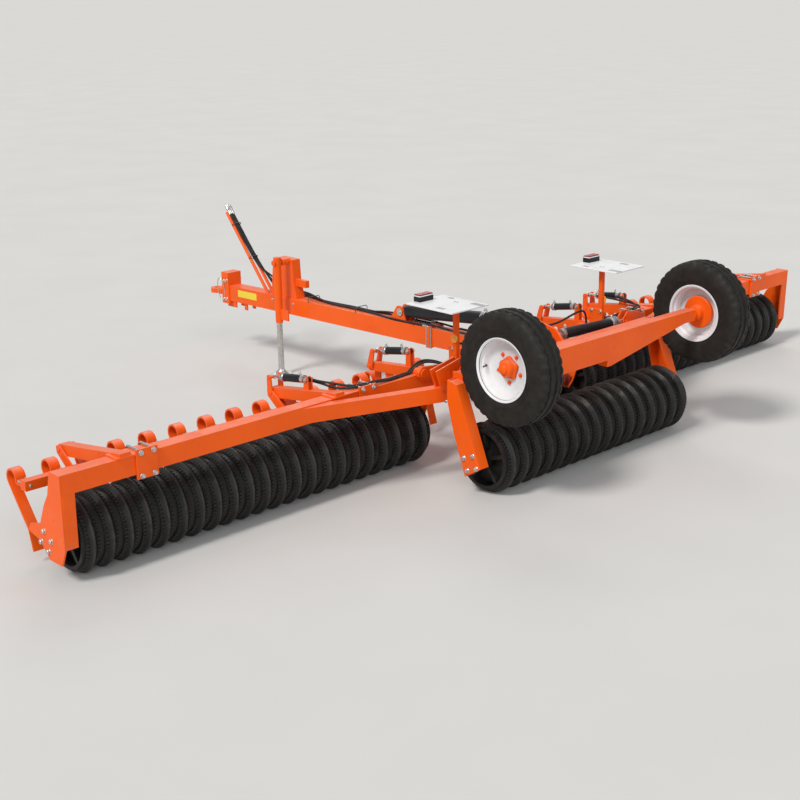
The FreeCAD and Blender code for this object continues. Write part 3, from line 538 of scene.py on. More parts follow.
def roll_mesh(settings, shaft, y_start, rings, width_to_bearings, spokes=5):
    """Rings along a shaft with notched flanks, and a dished, spoked disc in each end."""
    bm = bmesh.new()
    crest_layer = bm.verts.layers.float.new("crest")
    count = settings.ring_segments
    per_tooth = count / settings.ring_teeth
    stations = []
    for ring in range(rings):
        for place, radius, notched, crest in ring_stations(settings.tooth_height):
            stations.append((y_start + ring * RING_PITCH + place, radius, notched, crest, ring))
    stations.append((y_start + rings * RING_PITCH, VALLEY_R, False, 0.0, rings))
    rows = []
    for y, radius, notched, crest, ring in stations:
        row = []
        for k in range(count):
            turn = 2 * math.pi * (k + 0.37 * ring) / count
            gap = notched and (k % per_tooth) >= per_tooth / 2
            reach = radius - settings.tooth_height if gap else radius
            vertex = bm.verts.new((shaft.x + reach * math.sin(turn), y, shaft.z - reach * math.cos(turn)))
            vertex[crest_layer] = 0.0 if gap else crest
            row.append(vertex)
        rows.append(row)
    for low, high in zip(rows, rows[1:]):
        for k in range(count):
            n = (k + 1) % count
            bm.faces.new((low[k], low[n], high[n], high[k]))
    deep = 0.06
    for y, row, inward in ((y_start, rows[0], 1), (y_start + rings * RING_PITCH, rows[-1], -1)):
        last = row
        for radius, depth in ((VALLEY_R - 0.022, 0.0), (VALLEY_R - 0.026, 0.006), (VALLEY_R - 0.03, deep), (0.036, deep)):
            ring_row = []
            for k in range(count):
                turn = 2 * math.pi * (k + (0 if inward > 0 else 0.37 * rings)) / count
                place = (shaft.x + radius * math.sin(turn), y + inward * depth, shaft.z - radius * math.cos(turn))
                ring_row.append(bm.verts.new(place))
            for k in range(count):
                n = (k + 1) % count
                bm.faces.new((last[k], last[n], ring_row[n], ring_row[k]))
            last = ring_row
        for spoke in range(spokes):
            turn = Matrix.Rotation(2 * math.pi * spoke / spokes, 3, "Y")
            centre = Vector((shaft.x, y, shaft.z))
            near, far = sorted((y + inward * 0.012, y + inward * (deep + 0.004)))
            low = (shaft.x - 0.013, near, shaft.z + 0.034)
            high = (shaft.x + 0.013, far, shaft.z + VALLEY_R - 0.027)
            add_block(bm, low, high, 0, turn, centre)
        add_turned(bm, [(0, 0.062), (0.05, 0.058), (0.052, 0.036)], Vector((shaft.x, y + inward * deep, shaft.z)),
                   (0, -inward, 0), 32)
    low_end, high_end = width_to_bearings
    add_turned(bm, [(0, 0), (0, 0.0348), (high_end - low_end, 0.0348), (high_end - low_end, 0)],
               Vector((shaft.x, low_end, shaft.z)), (0, 1, 0), 32)
    return bm


class ROLLER_OT_rolls(bpy.types.Operator):
    """Adds the ringed rolls"""

    bl_idname = "roller.rolls"
    bl_label = "Rolls"

    def execute(self, context):
        settings = context.scene.field_roller
        low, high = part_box("roll_centre")
        rings = 16
        start = -rings * RING_PITCH / 2
        bm = roll_mesh(settings, SHAFT, start, rings, (low.y, high.y))
        piece = finish_piece("rings_centre", bm, ["iron"], "centre_roll")
        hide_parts("roll_centre")
        low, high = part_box("roll_left")
        rings = 22
        start = WING_SHAFT.y - rings * RING_PITCH / 2
        for side, sign in SIDES:
            bm = roll_mesh(settings, WING_SHAFT, start, rings, (low.y, high.y))
            mirrored(bm, sign)
            piece = finish_piece("rings_" + side, bm, ["iron"], "roll_" + side)
            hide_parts("roll_" + side)
        return {"FINISHED"}


# Wheels

TYRE_R = 0.375
TYRE_HALF = 0.100
BEAD_R = 0.192
RIM_R = 0.209
VALVE_TURN = math.radians(93)


def tyre_mesh(settings, centre):
    """A ribbed implement tyre: rounded walls, three grooves round the tread and blocks on the shoulders."""
    bm = bmesh.new()
    depth = settings.tread_depth
    wall = [(-0.0825, BEAD_R), (-0.0865, 0.214), (-0.0945, 0.236), (-0.0990, 0.268), (-0.0995, 0.300), (-0.0965, 0.326)]
    tread = [(-0.0905, 0.350, 1), (-0.0780, 0.366, 1), (-0.0560, 0.3725, 1), (-0.0530, 0.3725 - depth, 0),
             (-0.0450, 0.3725 - depth, 0), (-0.0420, 0.3735, 0), (-0.0160, TYRE_R - 0.0004, 0), (-0.0130, TYRE_R - depth, 0)]
    half = [(y, radius, 0) for y, radius in wall] + tread
    section = half + [(-y, radius, lug) for y, radius, lug in reversed(half)]
    section += [(0.060, 0.196, 0), (-0.060, 0.196, 0)]
    count = 180
    rows = []
    for k in range(count):
        turn = 2 * math.pi * k / count
        row = []
        for y, radius, lug in section:
            side = 0 if y < 0 else 2
            cut = lug and ((k + side) % 5 in (0, 1))
            wave = 0.0022 * math.sin(turn * 36 + (0 if y < 0 else math.pi)) if 0.01 < abs(y) < 0.058 and radius > 0.36 else 0
            reach = radius - depth * 0.75 if cut else radius
            row.append(bm.verts.new((centre.x + reach * math.sin(turn), centre.y + y + wave, centre.z + reach * math.cos(turn))))
        rows.append(row)
    for low, high in zip(rows, rows[1:] + rows[:1]):
        for k in range(len(section)):
            n = (k + 1) % len(section)
            bm.faces.new((low[k], low[n], high[n], high[k]))
    for sign in (1, -1):
        for radius in (0.243, 0.286):
            out = 0.0012 + (0.0962 if radius < 0.25 else 0.0993)
            profile = [(out - 0.002, radius - 0.003), (out, radius - 0.002), (out, radius + 0.002), (out - 0.002, radius + 0.003)]
            add_turned(bm, [(y, r) for y, r in profile], centre, (0, sign, 0), 96)
    return bm


def rim_mesh(centre):
    """A white dished rim with its bead seats, drop well and disc."""
    bm = bmesh.new()
    outer = [(0.0925, RIM_R), (0.0925, 0.2035), (0.0895, 0.2000), (0.0860, 0.1955), (0.0600, 0.1905), (0.0520, 0.1780),
             (0.0300, 0.1700), (0.0180, 0.1660), (0.0120, 0.1560), (0.0095, 0.1400), (0.0065, 0.1250), (0.0065, 0.0580)]
    inner = [(-0.0045, 0.0580), (-0.0045, 0.1250), (0.0005, 0.1560), (0.0000, 0.1725), (-0.0400, 0.1725), (-0.0560, 0.1780),
             (-0.0640, 0.1890), (-0.0880, 0.1925), (-0.0925, 0.2035), (-0.0925, RIM_R), (-0.0875, RIM_R), (-0.0870, 0.1935)]
    well = [(-0.0640, 0.1912), (-0.0500, 0.1840), (0.0420, 0.1840), (0.0600, 0.1912), (0.0865, 0.1935), (0.0875, RIM_R)]
    loop = outer + inner + well
    add_turned(bm, loop + loop[:1], centre, (0, 1, 0), 96)
    bmesh.ops.remove_doubles(bm, verts=bm.verts, dist=0.00001)
    return bm


def hub_mesh(centre):
    """An orange lobed flange, its cap and the grease cup, with the drum behind."""
    bm = bmesh.new()
    count = 80
    lobes = 5
    rows = []
    for y, size, swell in ((0.006, 0.066, 0.012), (0.0225, 0.066, 0.012), (0.027, 0.062, 0.011), (0.030, 0.055, 0.004),
                           (0.052, 0.050, 0.001), (0.0600, 0.0455, 0.0), (0.0625, 0.034, 0.0)):
        row = []
        for k in range(count):
            turn = 2 * math.pi * k / count
            radius = size + swell * (0.5 + 0.5 * math.cos(lobes * turn)) ** 1.6
            row.append(bm.verts.new((centre.x + radius * math.sin(turn), centre.y + y, centre.z + radius * math.cos(turn))))
        rows.append(row)
    for low, high in zip(rows, rows[1:]):
        for k in range(count):
            n = (k + 1) % count
            bm.faces.new((low[k], low[n], high[n], high[k]))
    bm.faces.new(rows[0])
    bm.faces.new(list(reversed(rows[-1])))
    add_turned(bm, [(0.061, 0.0), (0.061, 0.030), (0.074, 0.028), (0.078, 0.022), (0.078, 0.0)], centre, (0, 1, 0), 40)
    add_turned(bm, [(-0.090, 0.0), (-0.090, 0.046), (-0.086, 0.052), (-0.042, 0.056), (-0.040, 0.112), (-0.034, 0.118),
                    (-0.016, 0.118), (-0.010, 0.112), (-0.0048, 0.112), (-0.0048, 0.0)], centre, (0, 1, 0), 64)
    return bm


class ROLLER_OT_wheels(bpy.types.Operator):
    """Adds the tyres, rims, hubs and wheel nuts"""

    bl_idname = "roller.wheels"
    bl_label = "Road wheels"

    def execute(self, context):
        settings = context.scene.field_roller
        for side, sign in SIDES:
            body = "wheel_" + side
            bm = tyre_mesh(settings, AXLE)
            mirrored(bm, sign)
            tyre = finish_piece("ribbed_tyre_" + side, bm, ["tyre"], body)
            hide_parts("tyre_" + side)
            bm = rim_mesh(AXLE)
            mirrored(bm, sign)
            rim = finish_piece("dished_rim_" + side, bm, ["rim"], body, 0.0012)
            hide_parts("rim_" + side)
            bm = hub_mesh(AXLE)
            mirrored(bm, sign)
            hub = finish_piece("lobed_hub_" + side, bm, ["hub_paint"], body, 0.0015)
            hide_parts("hub_" + side)
            bm = bmesh.new()
            for k in range(5):
                turn = 2 * math.pi * (k + 0.5) / 5
                spot = AXLE + Vector((0.096 * math.sin(turn), 0.0066, 0.096 * math.cos(turn)))
                add_bolt(bm, spot, (0, 1, 0), 0.0125, nut=True, spin=turn)
            mirrored(bm, sign)
            finish_piece("wheel_nuts_" + side, bm, ["hub_paint"], body, 0.0006)
            bm = bmesh.new()
            spot = AXLE + Vector((0.168 * math.sin(VALVE_TURN), 0.040, 0.168 * math.cos(VALVE_TURN)))
            add_turned(bm, [(0, 0.008), (0.006, 0.008), (0.008, 0.0045), (0.030, 0.004), (0.031, 0.0055), (0.040, 0.0055),
                            (0.041, 0)], spot, (0.25 * math.sin(VALVE_TURN) * -1, 1, 0.25 * math.cos(VALVE_TURN) * -1), 14)
            mirrored(bm, sign)
            finish_piece("tyre_valve_" + side, bm, ["dark_steel"], body)
        return {"FINISHED"}


# Cylinders: node, its pins' joints and the sleeve's, eyes' and ports' sizes (metres from the barrel's pin)

CYLINDERS = (
    # kind, swing joint, slide joint, barrel r, gland r, gland start, mouth, eye r, pin r, half width of the pin, neck
    ("tip_barrel", "tip_barrel_swing", "tip_rod_slide", 0.050, 0.058, 0.870, 0.940, 0.036, 0.017, 0.050, 0.052),
    ("fold_barrel_{}", "fold_barrel_swing_{}", "fold_rod_slide_{}", 0.040, 0.050, 0.612, 0.672, 0.028, 0.014, 0.034, 0.044),
    ("board_barrel_{}", "board_barrel_swing_{}", "board_rod_slide_{}", 0.027, 0.030, 0.248, 0.272, 0.018, 0.009, 0.026, 0.034),
    ("inner_barrel_{}", "inner_barrel_swing_{}", "inner_rod_slide_{}", 0.027, 0.030, 0.234, 0.258, 0.018, 0.009, 0.026, 0.034),
)


class ROLLER_OT_cylinders(bpy.types.Operator):
    """Adds the cylinders' galvanised glands, end caps, ports and pin heads"""

    bl_idname = "roller.cylinders"
    bl_label = "Cylinder fittings"

    def execute(self, context):
        for row in CYLINDERS:
            for side, sign in SIDES:
                node, swing, slide = (name.format(side) for name in row[:3])
                if node == row[0] and sign < 0:
                    continue
                self.fit(node, JOINTS[swing], JOINTS[slide], row[3:], sign)
        return {"FINISHED"}

    def fit(self, node, swing, slide, sizes, sign):
        barrel, gland, gland_start, mouth, eye, pin, half, neck = sizes
        start = Vector(swing["pos_m"])
        along = Vector(slide["axis"]).normalized()
        pin_axis = Vector(swing["axis"]).normalized()
        up = along.cross(pin_axis).normalized()
        if up.z < 0:
            up = -up
        bm = bmesh.new()
        skin = 0.0006
        long = mouth - gland_start
        add_turned(bm, [(-0.004, barrel + skin), (0.0, gland + skin), (long * 0.55, gland + skin),
                        (long * 0.6, gland - 0.003), (long * 0.68, gland - 0.003), (long * 0.73, gland + skin),
                        (long, gland + skin), (long + 0.002, gland - 0.004), (long + 0.002, gland * 0.45)],
                   start + along * gland_start, along, 40)
        if node != "tip_barrel":
            add_turned(bm, [(-0.001, gland * 0.3), (-0.001, barrel - 0.003), (0.001, barrel + skin), (0.026, barrel + skin),
                            (0.030, barrel + skin * 0.2)], start + along * neck, along, 40)
        for k in range(4):
            turn = math.pi / 4 + k * math.pi / 2
            spot = start + along * mouth + (up * math.cos(turn) + pin_axis * math.sin(turn)) * gland * 0.74
            add_prism(bm, spot, along, gland * 0.11, 0.005, 6)
        for place in (neck + 0.045, gland_start + long * 0.25):
            seat = start + along * place + up * (barrel * 0.96)
            add_prism(bm, seat, up, barrel * 0.36, 0.012, 6)
            add_turned(bm, [(0.0, barrel * 0.26), (0.010, barrel * 0.26), (0.014, barrel * 0.2), (0.020, 0.0)],
                       seat + up * 0.012, up, 16)
        finish_piece(node + "_fittings", bm, ["zinc"], node, 0.0008)
        bm = bmesh.new()
        for way in (1, -1):
            add_turned(bm, [(0.0, pin * 1.75), (0.004, pin * 1.75), (0.005, pin * 0.95), (0.010, pin * 0.9), (0.011, 0)],
                       start + pin_axis * way * half, pin_axis * way, 24)
        holder = "drawbar" if node == "tip_barrel" else swing["parent"]
        finish_piece(node + "_pin_ends", bm, ["zinc"], holder, 0.0006)


# Bolts


# Where the clamp plates on the back of the left wing's beam start and end, along the beam
CLAMP_SPANS = ((3.090, 3.235), (1.378, 1.530))


def square_bolts(bm, centre, outward, half, tilt, size):
    """Four bolts on the corners of a tilted square."""
    turn = math.radians(tilt)
    for a, b in ((half, half), (-half, half), (-half, -half), (half, -half)):
        offset = Vector((a * math.cos(turn) - b * math.sin(turn), 0, a * math.sin(turn) + b * math.cos(turn)))
        add_bolt(bm, centre + offset, outward, size, spin=turn)


class ROLLER_OT_fasteners(bpy.types.Operator):
    """Adds the bolts, nuts, clamp rods and clamp plates"""

    bl_idname = "roller.fasteners"
    bl_label = "Bolts and clamps"

    def execute(self, context):
        size = context.scene.field_roller.bolt_size
        self.frame_bolts(size)
        for side, sign in SIDES:
            self.wing_bolts(side, sign, size)
            self.tine_clamps("board_" + side, side, sign, [0.916 + 0.227 * k for k in range(13)])
            self.tine_clamps("inner_board_" + side, side, sign, [0.362 + 0.227 * k for k in range(3)])
        self.head_bolts(size)
        return {"FINISHED"}

    def frame_bolts(self, size):
        bm = bmesh.new()
        for sign in (1, -1):
            leg = Vector((SHAFT.x, sign * 1.120, SHAFT.z))
            square_bolts(bm, leg, (0, sign, 0), 0.043, -22.0, size)
            inner = Vector((SHAFT.x, sign * 1.092, SHAFT.z))
            square_bolts(bm, inner, (0, -sign, 0), 0.043, -22.0, size * 0.9)
            add_bolt(bm, at(0.215, sign * 1.120, 0.62), (0, sign, 0), size * 0.6)
            for x in (0.436, 0.520):
                add_bolt(bm, at(x, sign * 0.767, 0.735), (0, sign, 0), size * 0.7)
                add_bolt(bm, at(x, sign * 0.755, 0.855), (0, -sign, 0), size * 0.7)
            add_bolt(bm, at(0.500, sign * 0.767, 0.855), (0, sign, 0), size * 0.7)
            for x in (0.405, 0.666):
                add_bolt(bm, at(x, sign * HINGE.y, HINGE.z), (1, 0, 0), size * 1.35, nut=True)
            add_bolt(bm, at(0.246, sign * HINGE.y, HINGE.z), (-1, 0, 0), size * 1.35)
            add_bolt(bm, at(PIVOT.x - SHAFT.x, sign * 0.104, PIVOT.z), (0, sign, 0), size * 1.5, nut=True)
            add_bolt(bm, at(0.640, sign * 0.102, 0.885), (0, sign, 0), size * 1.15)
        finish_piece("frame_bolts", bm, ["zinc"], "centre_frame", 0.0008)

    def wing_bolts(self, side, sign, size):
        bm = bmesh.new()
        outer = Vector((WING_SHAFT.x, 3.720, WING_SHAFT.z))
        square_bolts(bm, outer, (0, 1, 0), 0.043, 28.6, size)
        square_bolts(bm, Vector((WING_SHAFT.x, 0.844, WING_SHAFT.z)), (0, 1, 0), 0.043, 28.6, size * 0.9)
        for low, high in CLAMP_SPANS:
            for y in (low + 0.030, high - 0.030):
                add_bolt(bm, at(0.600, y, 0.700), (-1, 0, 0), size * 0.95, nut=True)
                add_bolt(bm, at(0.600, y, 0.560), (-1, 0, 0), size * 0.95, nut=True)
                add_bolt(bm, at(0.740, y, 0.700), (1, 0, 0), size * 0.8)
                for z in (0.7005 + 0.0095, 0.560):
                    add_tube(bm, [at(0.590, y, z), at(0.740, y, z)], 0.0085, 12)
        mirrored(bm, sign)
        finish_piece("wing_bolts_" + side, bm, ["zinc"], "wing_" + side, 0.0008)
        bm = bmesh.new()
        for low, high in CLAMP_SPANS:
            add_block(bm, at(0.604, low, 0.540), at(0.6195, high, 0.722))
        mirrored(bm, sign)
        finish_piece("clamp_plates_" + side, bm, ["paint"], "wing_" + side, 0.003)

    def tine_clamps(self, body, side, sign, places):
        bm = bmesh.new()
        for y in places:
            add_block(bm, at(1.172, y - 0.034, 0.4885), at(1.214, y + 0.034, 0.4975))
            for x in (1.186, 1.202):
                add_bolt(bm, at(x, y + (0.016 if x < 1.19 else -0.016), 0.4975), (0, 0, 1), 0.0085, nut=True)
            add_bolt(bm, at(1.118, y, 0.480), (-1, 0, 0), 0.009)
        mirrored(bm, sign)
        finish_piece("tine_clamps_" + body, bm, ["zinc"], body, 0.0006)

    def head_bolts(self, size):
        bm = bmesh.new()
        for x, z in ((4.058, 0.690), (4.105, 0.680), (4.062, 0.520), (4.105, 0.515)):
            for sign in (1, -1):
                add_bolt(bm, at(x, sign * 0.072, z), (0, sign, 0), size * 0.95, nut=sign < 0)
        for x in (1.4235, 1.4725):
            for y in (0.067, -0.067):
                add_tube(bm, [at(x, y, 0.545), at(x, y, 0.712)], 0.0055, 10)
        for x in (3.12, 3.40):
            add_bolt(bm, at(x, 0.060, 0.62), (0, 1, 0), size * 0.6)
        loop = []
        for k in range(25):
            turn = 2 * math.pi * k / 24
            loop.append(at(4.140 + 0.050 * math.cos(turn), 0.074 + 0.012 * math.sin(turn), 0.600 + 0.105 * math.sin(turn)))
        add_tube(bm, loop, 0.0042, 8)
        finish_piece("head_fittings", bm, ["zinc"], "drawbar", 0.0006)
        bm = bmesh.new()
        for y in (-0.050, 0.038):
            add_block(bm, at(3.79, y, 0.452), at(3.83, y + 0.012, 0.5145))
            add_block(bm, at(3.95, y, 0.452), at(4.00, y + 0.012, 0.5105))
        finish_piece("under_lugs", bm, ["paint"], "drawbar", 0.002)


# Lights, label and small trim


class ROLLER_OT_lights(bpy.types.Operator):
    """Adds the lamps' lenses, the boards' marks and the blank label"""

    bl_idname = "roller.lights"
    bl_label = "Lights and label"

    def execute(self, context):
        lamp_low, lamp_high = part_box("lamps")
        board_low, board_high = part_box("light_boards")
        bm = bmesh.new()
        marks = bmesh.new()
        pale = bmesh.new()
        for sign in (1, -1):
            ys = sorted((sign * 0.836, sign * 0.954))
            add_block(bm, (lamp_low.x + 0.006, ys[0], lamp_high.z - 0.001), (lamp_high.x - 0.006, ys[1], lamp_high.z + 0.005))
            ys = sorted((sign * 0.828, sign * 0.962))
            add_block(pale, (lamp_low.x - 0.002, ys[0], lamp_high.z - 0.010), (lamp_high.x + 0.0, ys[1], lamp_high.z - 0.003))
            for x, y, long, wide in ((0.30, 0.735, 0.10, 0.045), (0.40, 0.98, 0.07, 0.04), (0.56, 0.72, 0.05, 0.03)):
                place = at(x, sign * y, board_high.z)
                add_block(marks, place - Vector((long / 2, wide / 2, 0.0002)), place + Vector((long / 2, wide / 2, 0.0012)))
            for x in (0.440, 0.466):
                add_prism(marks, at(x, sign * 0.782, board_high.z), (0, 0, 1), 0.007, 0.004, 6)
        finish_piece("lamp_lenses", bm, ["red_lens"], "centre_frame", 0.002)
        finish_piece("board_marks", marks, ["mark"], "centre_frame", 0.0006)
        finish_piece("lamp_edges", pale, ["panel"], "centre_frame", 0.001)
        bm = bmesh.new()
        add_block(bm, at(3.632, 0.0602, 0.566), at(3.904, 0.0614, 0.628), 0, Matrix.Rotation(0.0203, 3, "Y"), at(3.77, 0.06, 0.60))
        finish_piece("blank_label", bm, ["label"], "drawbar", 0.0005)
        return {"FINISHED"}


# Hoses: the same routes as the solids, with z counted from the surface that each lies on

DRAWBAR_HOSES = (
    ((4040, -17, 678), (3960, -17, 582), (3830, -18, 425), (3700, -24, 268), (3610, -38, 159), (3515, -53, 52),
     (3400, -54, 14), (3250, -54, 10), (3050, -54, 12), (2880, -46, 9), (2650, -38, 10), (2430, -44, 12),
     (2200, -40, 9), (1990, -52, 10), (1760, -52, 9), (1560, -46, 10), (1492, -46, 9)),
    ((4044, 1, 683), (3965, 1, 589), (3835, 0, 432), (3705, -6, 276), (3614, -21, 182), (3517, -53, 82),
     (3400, -54, 33), (3250, -54, 28), (3045, -54, 30), (2860, -24, 18), (2640, -17, 10), (2400, -24, 12),
     (2210, -19, 9), (2080, -30, 26), (1960, -52, 30), (1750, -52, 27), (1560, -50, 28), (1492, -50, 27)),
    ((4040, 19, 678), (3960, 19, 582), (3830, 18, 425), (3702, 10, 272), (3624, 5, 206), (3519, -53, 126),
     (3400, -54, 52), (3250, -54, 46), (3040, -54, 48), (2840, -2, 30), (2620, 3, 9), (2380, -4, 14),
     (2190, 5, 10), (2060, 28, 14), (1940, 52, 12), (1740, 52, 9), (1560, 46, 10), (1492, 46, 9)),
)
WING_HOSES = (
    ((690, 1015, 8.3), (682, 1110, 9), (668, 1220, 8.3), (672, 1330, 22), (668, 1450, 22), (684, 1545, 28),
     (775, 1600, 40), (880, 1641, 42), (948, 1651, 45), (992, 1652, 46)),
    ((668, 1012, 8.3), (660, 1105, 9), (648, 1215, 8.3), (651, 1330, 22), (645, 1450, 22), (662, 1560, 24),
     (740, 1626, 20), (880, 1626, 26), (1000, 1634, 25), (1110, 1647, 22), (1178, 1650, 20)),
)
WING_BEAM_TOP = 0.690
DRAWBAR_TOP = (0.716, 0.647)
DRAWBAR_SPAN = (0.640, 4.030)


def drawbar_top(x):
    """Height of the drawbar's top at a place along it."""
    share = (x - DRAWBAR_SPAN[0]) / (DRAWBAR_SPAN[1] - DRAWBAR_SPAN[0])
    return DRAWBAR_TOP[0] + share * (DRAWBAR_TOP[1] - DRAWBAR_TOP[0])


def hose_curve(name, points, radius):
    """A smooth round hose with these points as its control points."""
    curve = bpy.data.curves.new(name, "CURVE")
    curve.dimensions = "3D"
    curve.bevel_depth = radius
    curve.bevel_resolution = 4
    curve.resolution_u = 8
    curve.use_fill_caps = True
    spline = curve.splines.new("NURBS")
    spline.points.add(len(points) - 1)
    for slot, point in zip(spline.points, points):
        slot.co = (*point, 1.0)
    spline.order_u = 3
    spline.use_endpoint_u = True
    obj = bpy.data.objects.new(name, curve)
    bpy.context.scene.collection.objects.link(obj)
    curve.materials.append(MATERIALS["hose"])
    return obj


def as_mesh(obj):
    """The same piece as a mesh."""
    bpy.context.view_layer.update()
    mesh = bpy.data.meshes.new_from_object(obj.evaluated_get(bpy.context.evaluated_depsgraph_get()))
    name = obj.name
    bpy.data.objects.remove(obj)
    made = bpy.data.objects.new(name, mesh)
    bpy.context.scene.collection.objects.link(made)
    return made


# More hose made on the left, in metres from the shaft: name, body, route
BACK_HOSES = (
    ("drawbar_end", "drawbar", ((1.492, 0.046, 0.722), (1.440, 0.046, 0.726), (1.250, 0.042, 0.717), (1.050, 0.046, 0.721),
                                (0.850, 0.046, 0.724), (0.720, 0.046, 0.731))),
    ("frame_run", "centre_frame", ((0.520, 0.046, 0.790), (0.520, 0.110, 0.815), (0.535, 0.220, 0.822), (0.545, 0.400, 0.815),
                                   (0.550, 0.580, 0.850), (0.552, 0.680, 0.862), (0.553, 0.722, 0.830), (0.553, 0.734, 0.775),
                                   (0.553, 0.736, 0.735))),
)
# Loops that cross a joint: name, bodies, where the bend starts and ends, route
CROSSINGS = (
    ("tip_loop", "centre_frame", "drawbar", (0.530, 0.046, 0.790), (0.710, 0.046, 0.732),
     ((0.520, 0.046, 0.790), (0.545, 0.046, 0.796), (0.600, 0.046, 0.782), (0.655, 0.046, 0.748), (0.690, 0.046, 0.734),
      (0.720, 0.046, 0.731))),
    ("hinge_loop_a", "centre_frame", "wing_left", (0.575, 0.860, 0.750), (0.680, 1.000, 0.720),
     ((0.553, 0.736, 0.735), (0.548, 0.752, 0.724), (0.556, 0.796, 0.742), (0.590, 0.860, 0.772), (0.645, 0.915, 0.778),
      (0.686, 0.965, 0.742), (0.690, 1.015, 0.6983))),
    ("hinge_loop_b", "centre_frame", "wing_left", (0.560, 0.860, 0.750), (0.660, 1.000, 0.720),
     ((0.530, 0.752, 0.735), (0.528, 0.768, 0.724), (0.540, 0.806, 0.738), (0.576, 0.862, 0.764), (0.628, 0.918, 0.768),
      (0.664, 0.965, 0.736), (0.668, 1.012, 0.6983))),
)


class ROLLER_OT_hoses(bpy.types.Operator):
    """Adds the hydraulic hoses, their couplings and clips"""

    bl_idname = "roller.hoses"
    bl_label = "Hoses"

    def execute(self, context):
        radius = context.scene.field_roller.hose_radius
        routes = []
        for route in DRAWBAR_HOSES:
            routes.append([at(x / 1000, y / 1000, drawbar_top(x / 1000) + z / 1000) for x, y, z in route])
        pieces = [hose_curve("drawbar_hose_" + str(k + 1), route, radius) for k, route in enumerate(routes)]
        for piece in pieces:
            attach(piece, "drawbar")
        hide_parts("hoses_drawbar")
        self.couplings(routes, radius)
        self.clips(radius)
        for side, sign in SIDES:
            made = []
            for k, route in enumerate(WING_HOSES):
                places = [at(x / 1000, sign * y / 1000, WING_BEAM_TOP + z / 1000) for x, y, z in route]
                made.append(hose_curve("wing_hose_{}_{}".format(k + 1, side), places, radius))
                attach(made[-1], "wing_" + side)
            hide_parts("hoses_wing_" + side)
            for name, body, route in BACK_HOSES:
                made.append(hose_curve(name + "_" + side, [at(x, sign * y, z) for x, y, z in route], radius))
                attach(made[-1], body)
            for name, low_body, high_body, start, end, route in CROSSINGS:
                places = [at(x, sign * y, z) for x, y, z in route]
                piece = as_mesh(hose_curve(name + "_" + side, places, radius))
                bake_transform(piece)
            self.elbows(side, sign)
        return {"FINISHED"}

    def elbows(self, side, sign):
        """Fittings on the side beam where the loops to the drawbar and to the wing meet."""
        bm = bmesh.new()
        for x, y in ((0.553, 0.736), (0.530, 0.752)):
            add_prism(bm, at(x, y, 0.7195), (0, 0, 1), 0.0125, 0.022, 6)
        add_block(bm, at(0.512, 0.722, 0.7185), at(0.572, 0.768, 0.7235))
        mirrored(bm, sign)
        finish_piece("hose_elbows_" + side, bm, ["zinc"], "centre_frame", 0.0006)

    def couplings(self, routes, radius):
        """Crimped ends and quick couplings at the holder, and crimped ends at the drawbar's flanges."""
        bm = bmesh.new()
        for route in routes:
            ahead = (route[0] - route[1]).normalized()
            add_turned(bm, [(-0.045, radius + 0.001), (-0.043, radius + 0.003), (0.0, radius + 0.003), (0.002, 0.010),
                            (0.008, 0.0145), (0.034, 0.0145), (0.036, 0.0115), (0.050, 0.0115), (0.052, 0.0)],
                       route[0], ahead, 20)
            back = (route[-1] - route[-2]).normalized()
            add_turned(bm, [(-0.040, radius + 0.001), (-0.038, radius + 0.003), (0.0, radius + 0.003), (0.001, 0.012),
                            (0.016, 0.012), (0.017, 0.007), (0.030, 0.0)], route[-1], back, 20)
        finish_piece("hose_couplings", bm, ["zinc"], "drawbar", 0.0006)

    def clips(self, radius):
        """Bands that hold the bundle on the drawbar, and a band at the holder's top."""
        bm = bmesh.new()
        for x in (2.905, 2.30, 1.62):
            top = drawbar_top(x)
            outline = [(-0.064, 0.0), (-0.064, 0.030), (-0.050, 0.044), (0.050, 0.044), (0.064, 0.030), (0.064, 0.0)]
            points = [at(x, y, top + z) for y, z in outline]
            add_tube(bm, points, 0.0035, 8)
        for x in (3.965, 3.74):
            height = 0.718 + (x - 3.560) * 1.1878
            ring = []
            for k in range(21):
                turn = 2 * math.pi * k / 20
                across = 0.044 * math.cos(turn)
                rise = 0.012 + 0.030 * math.sin(turn)
                ring.append(at(x - rise * 0.765, across, height + rise * 0.644))
            add_tube(bm, ring, 0.0035, 8)
        finish_piece("hose_bands", bm, ["dark_steel"], "drawbar")


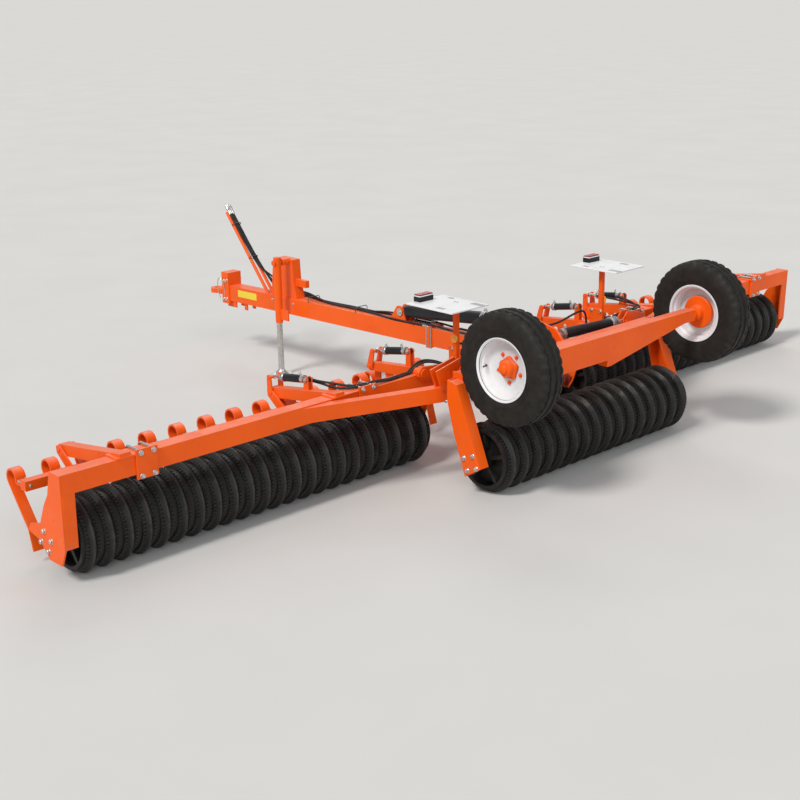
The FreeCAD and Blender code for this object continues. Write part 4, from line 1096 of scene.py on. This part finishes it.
class ROLLER_OT_stage(bpy.types.Operator):
    """Adds the floor, the lights, the world and the camera"""

    bl_idname = "roller.stage"
    bl_label = "Stage"

    def execute(self, context):
        scene = context.scene
        scene.view_settings.view_transform = "Standard"
        self.floor()
        self.world(scene)
        # A wide key light from the left, a softer one from behind the camera and one from the far side
        lights = (
            ("key_light", (-0.10, 1.0, 1.15), 14.0, 2.1, (1.0, 0.975, 0.94)),
            ("fill_light", (-1.0, 0.45, 0.6), 40.0, 0.95, (0.94, 0.97, 1.0)),
            ("back_light", (0.9, -0.8, 1.0), 30.0, 0.5, (1.0, 1.0, 1.0)),
        )
        for name, toward, width, power, colour in lights:
            data = bpy.data.lights.new(name, "SUN")
            data.angle = math.radians(width)
            data.energy = power
            data.color = colour
            lamp = bpy.data.objects.new(name, data)
            lamp.location = Vector(toward) * 10
            lamp.rotation_euler = Vector(toward).to_track_quat("Z", "Y").to_euler()
            scene.collection.objects.link(lamp)
        self.camera(scene)
        return {"FINISHED"}

    def floor(self):
        bm = bmesh.new()
        half = 600.0
        corners = [bm.verts.new((x * half, y * half, 0.0)) for x, y in ((-1, -1), (1, -1), (1, 1), (-1, 1))]
        bm.faces.new(corners)
        mesh = bpy.data.meshes.new("floor")
        bm.to_mesh(mesh)
        bm.free()
        obj = bpy.data.objects.new("floor", mesh)
        bpy.context.scene.collection.objects.link(obj)
        made, shader = new_material("pale_floor", (0.62, 0.61, 0.59), 0.95, shine=0.1)
        wiring = Wiring(made)
        wiring.join(wiring.mix(wiring.ramp(wiring.noise(0.8, 3.0), 0.3, 0.7), (0.61, 0.60, 0.58), (0.63, 0.62, 0.60)),
                    shader.inputs["Base Color"])
        mesh.materials.append(made)

    def world(self, scene):
        world = bpy.data.worlds.new("soft_sky")
        scene.world = world
        world.use_nodes = True
        light = world.node_tree.nodes["Background"]
        light.inputs["Color"].default_value = (0.93, 0.96, 1.0, 1.0)
        light.inputs["Strength"].default_value = 0.42

    def camera(self, scene):
        """The camera of the photograph: its place, and its heading, dip and roll in degrees."""
        place = at(-5.624, 6.998, 3.230)
        heading, dip, roll = (math.radians(angle) for angle in (43.0995, 17.4058, 0.9006))
        forward = Vector((math.cos(heading) * math.cos(dip), -math.sin(heading) * math.cos(dip), -math.sin(dip)))
        right = Vector((-math.sin(heading), -math.cos(heading), 0))
        down = forward.cross(right)
        image_right = right * math.cos(roll) + down * math.sin(roll)
        image_down = down * math.cos(roll) - right * math.sin(roll)
        data = bpy.data.cameras.new("camera")
        data.sensor_width = 36.0
        data.lens = scene.field_roller.lens_length
        data.clip_end = 2000.0
        camera = bpy.data.objects.new("camera", data)
        axes = Matrix((image_right, -image_down, -forward)).transposed().to_4x4()
        camera.matrix_world = Matrix.Translation(place) @ axes
        scene.collection.objects.link(camera)
        scene.camera = camera


class ROLLER_PT_panel(bpy.types.Panel):
    """The roller's sizes, colours and steps"""

    bl_idname = "ROLLER_PT_panel"
    bl_label = "Field Roller"
    bl_space_type = "VIEW_3D"
    bl_region_type = "UI"
    bl_category = "Field Roller"

    def draw(self, context):
        settings = context.scene.field_roller
        for name in FieldRollerSettings.__annotations__:
            self.layout.prop(settings, name)
        for step in STEPS:
            self.layout.operator(step.bl_idname)


STEPS = (
    ROLLER_OT_finish_frame,
    ROLLER_OT_rolls,
    ROLLER_OT_wheels,
    ROLLER_OT_cylinders,
    ROLLER_OT_fasteners,
    ROLLER_OT_lights,
    ROLLER_OT_hoses,
    ROLLER_OT_stage,
)
CLASSES = (FieldRollerSettings, *STEPS, ROLLER_PT_panel)


def register():
    for item in CLASSES:
        bpy.utils.register_class(item)
    bpy.types.Scene.field_roller = PointerProperty(type=FieldRollerSettings)


def unregister():
    del bpy.types.Scene.field_roller
    for item in reversed(CLASSES):
        bpy.utils.unregister_class(item)


def main():
    """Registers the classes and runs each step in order."""
    register()
    bpy.ops.roller.finish_frame()
    bpy.ops.roller.rolls()
    bpy.ops.roller.wheels()
    bpy.ops.roller.cylinders()
    bpy.ops.roller.fasteners()
    bpy.ops.roller.lights()
    bpy.ops.roller.hoses()
    bpy.ops.roller.stage()


if __name__ == "__main__":
    main()
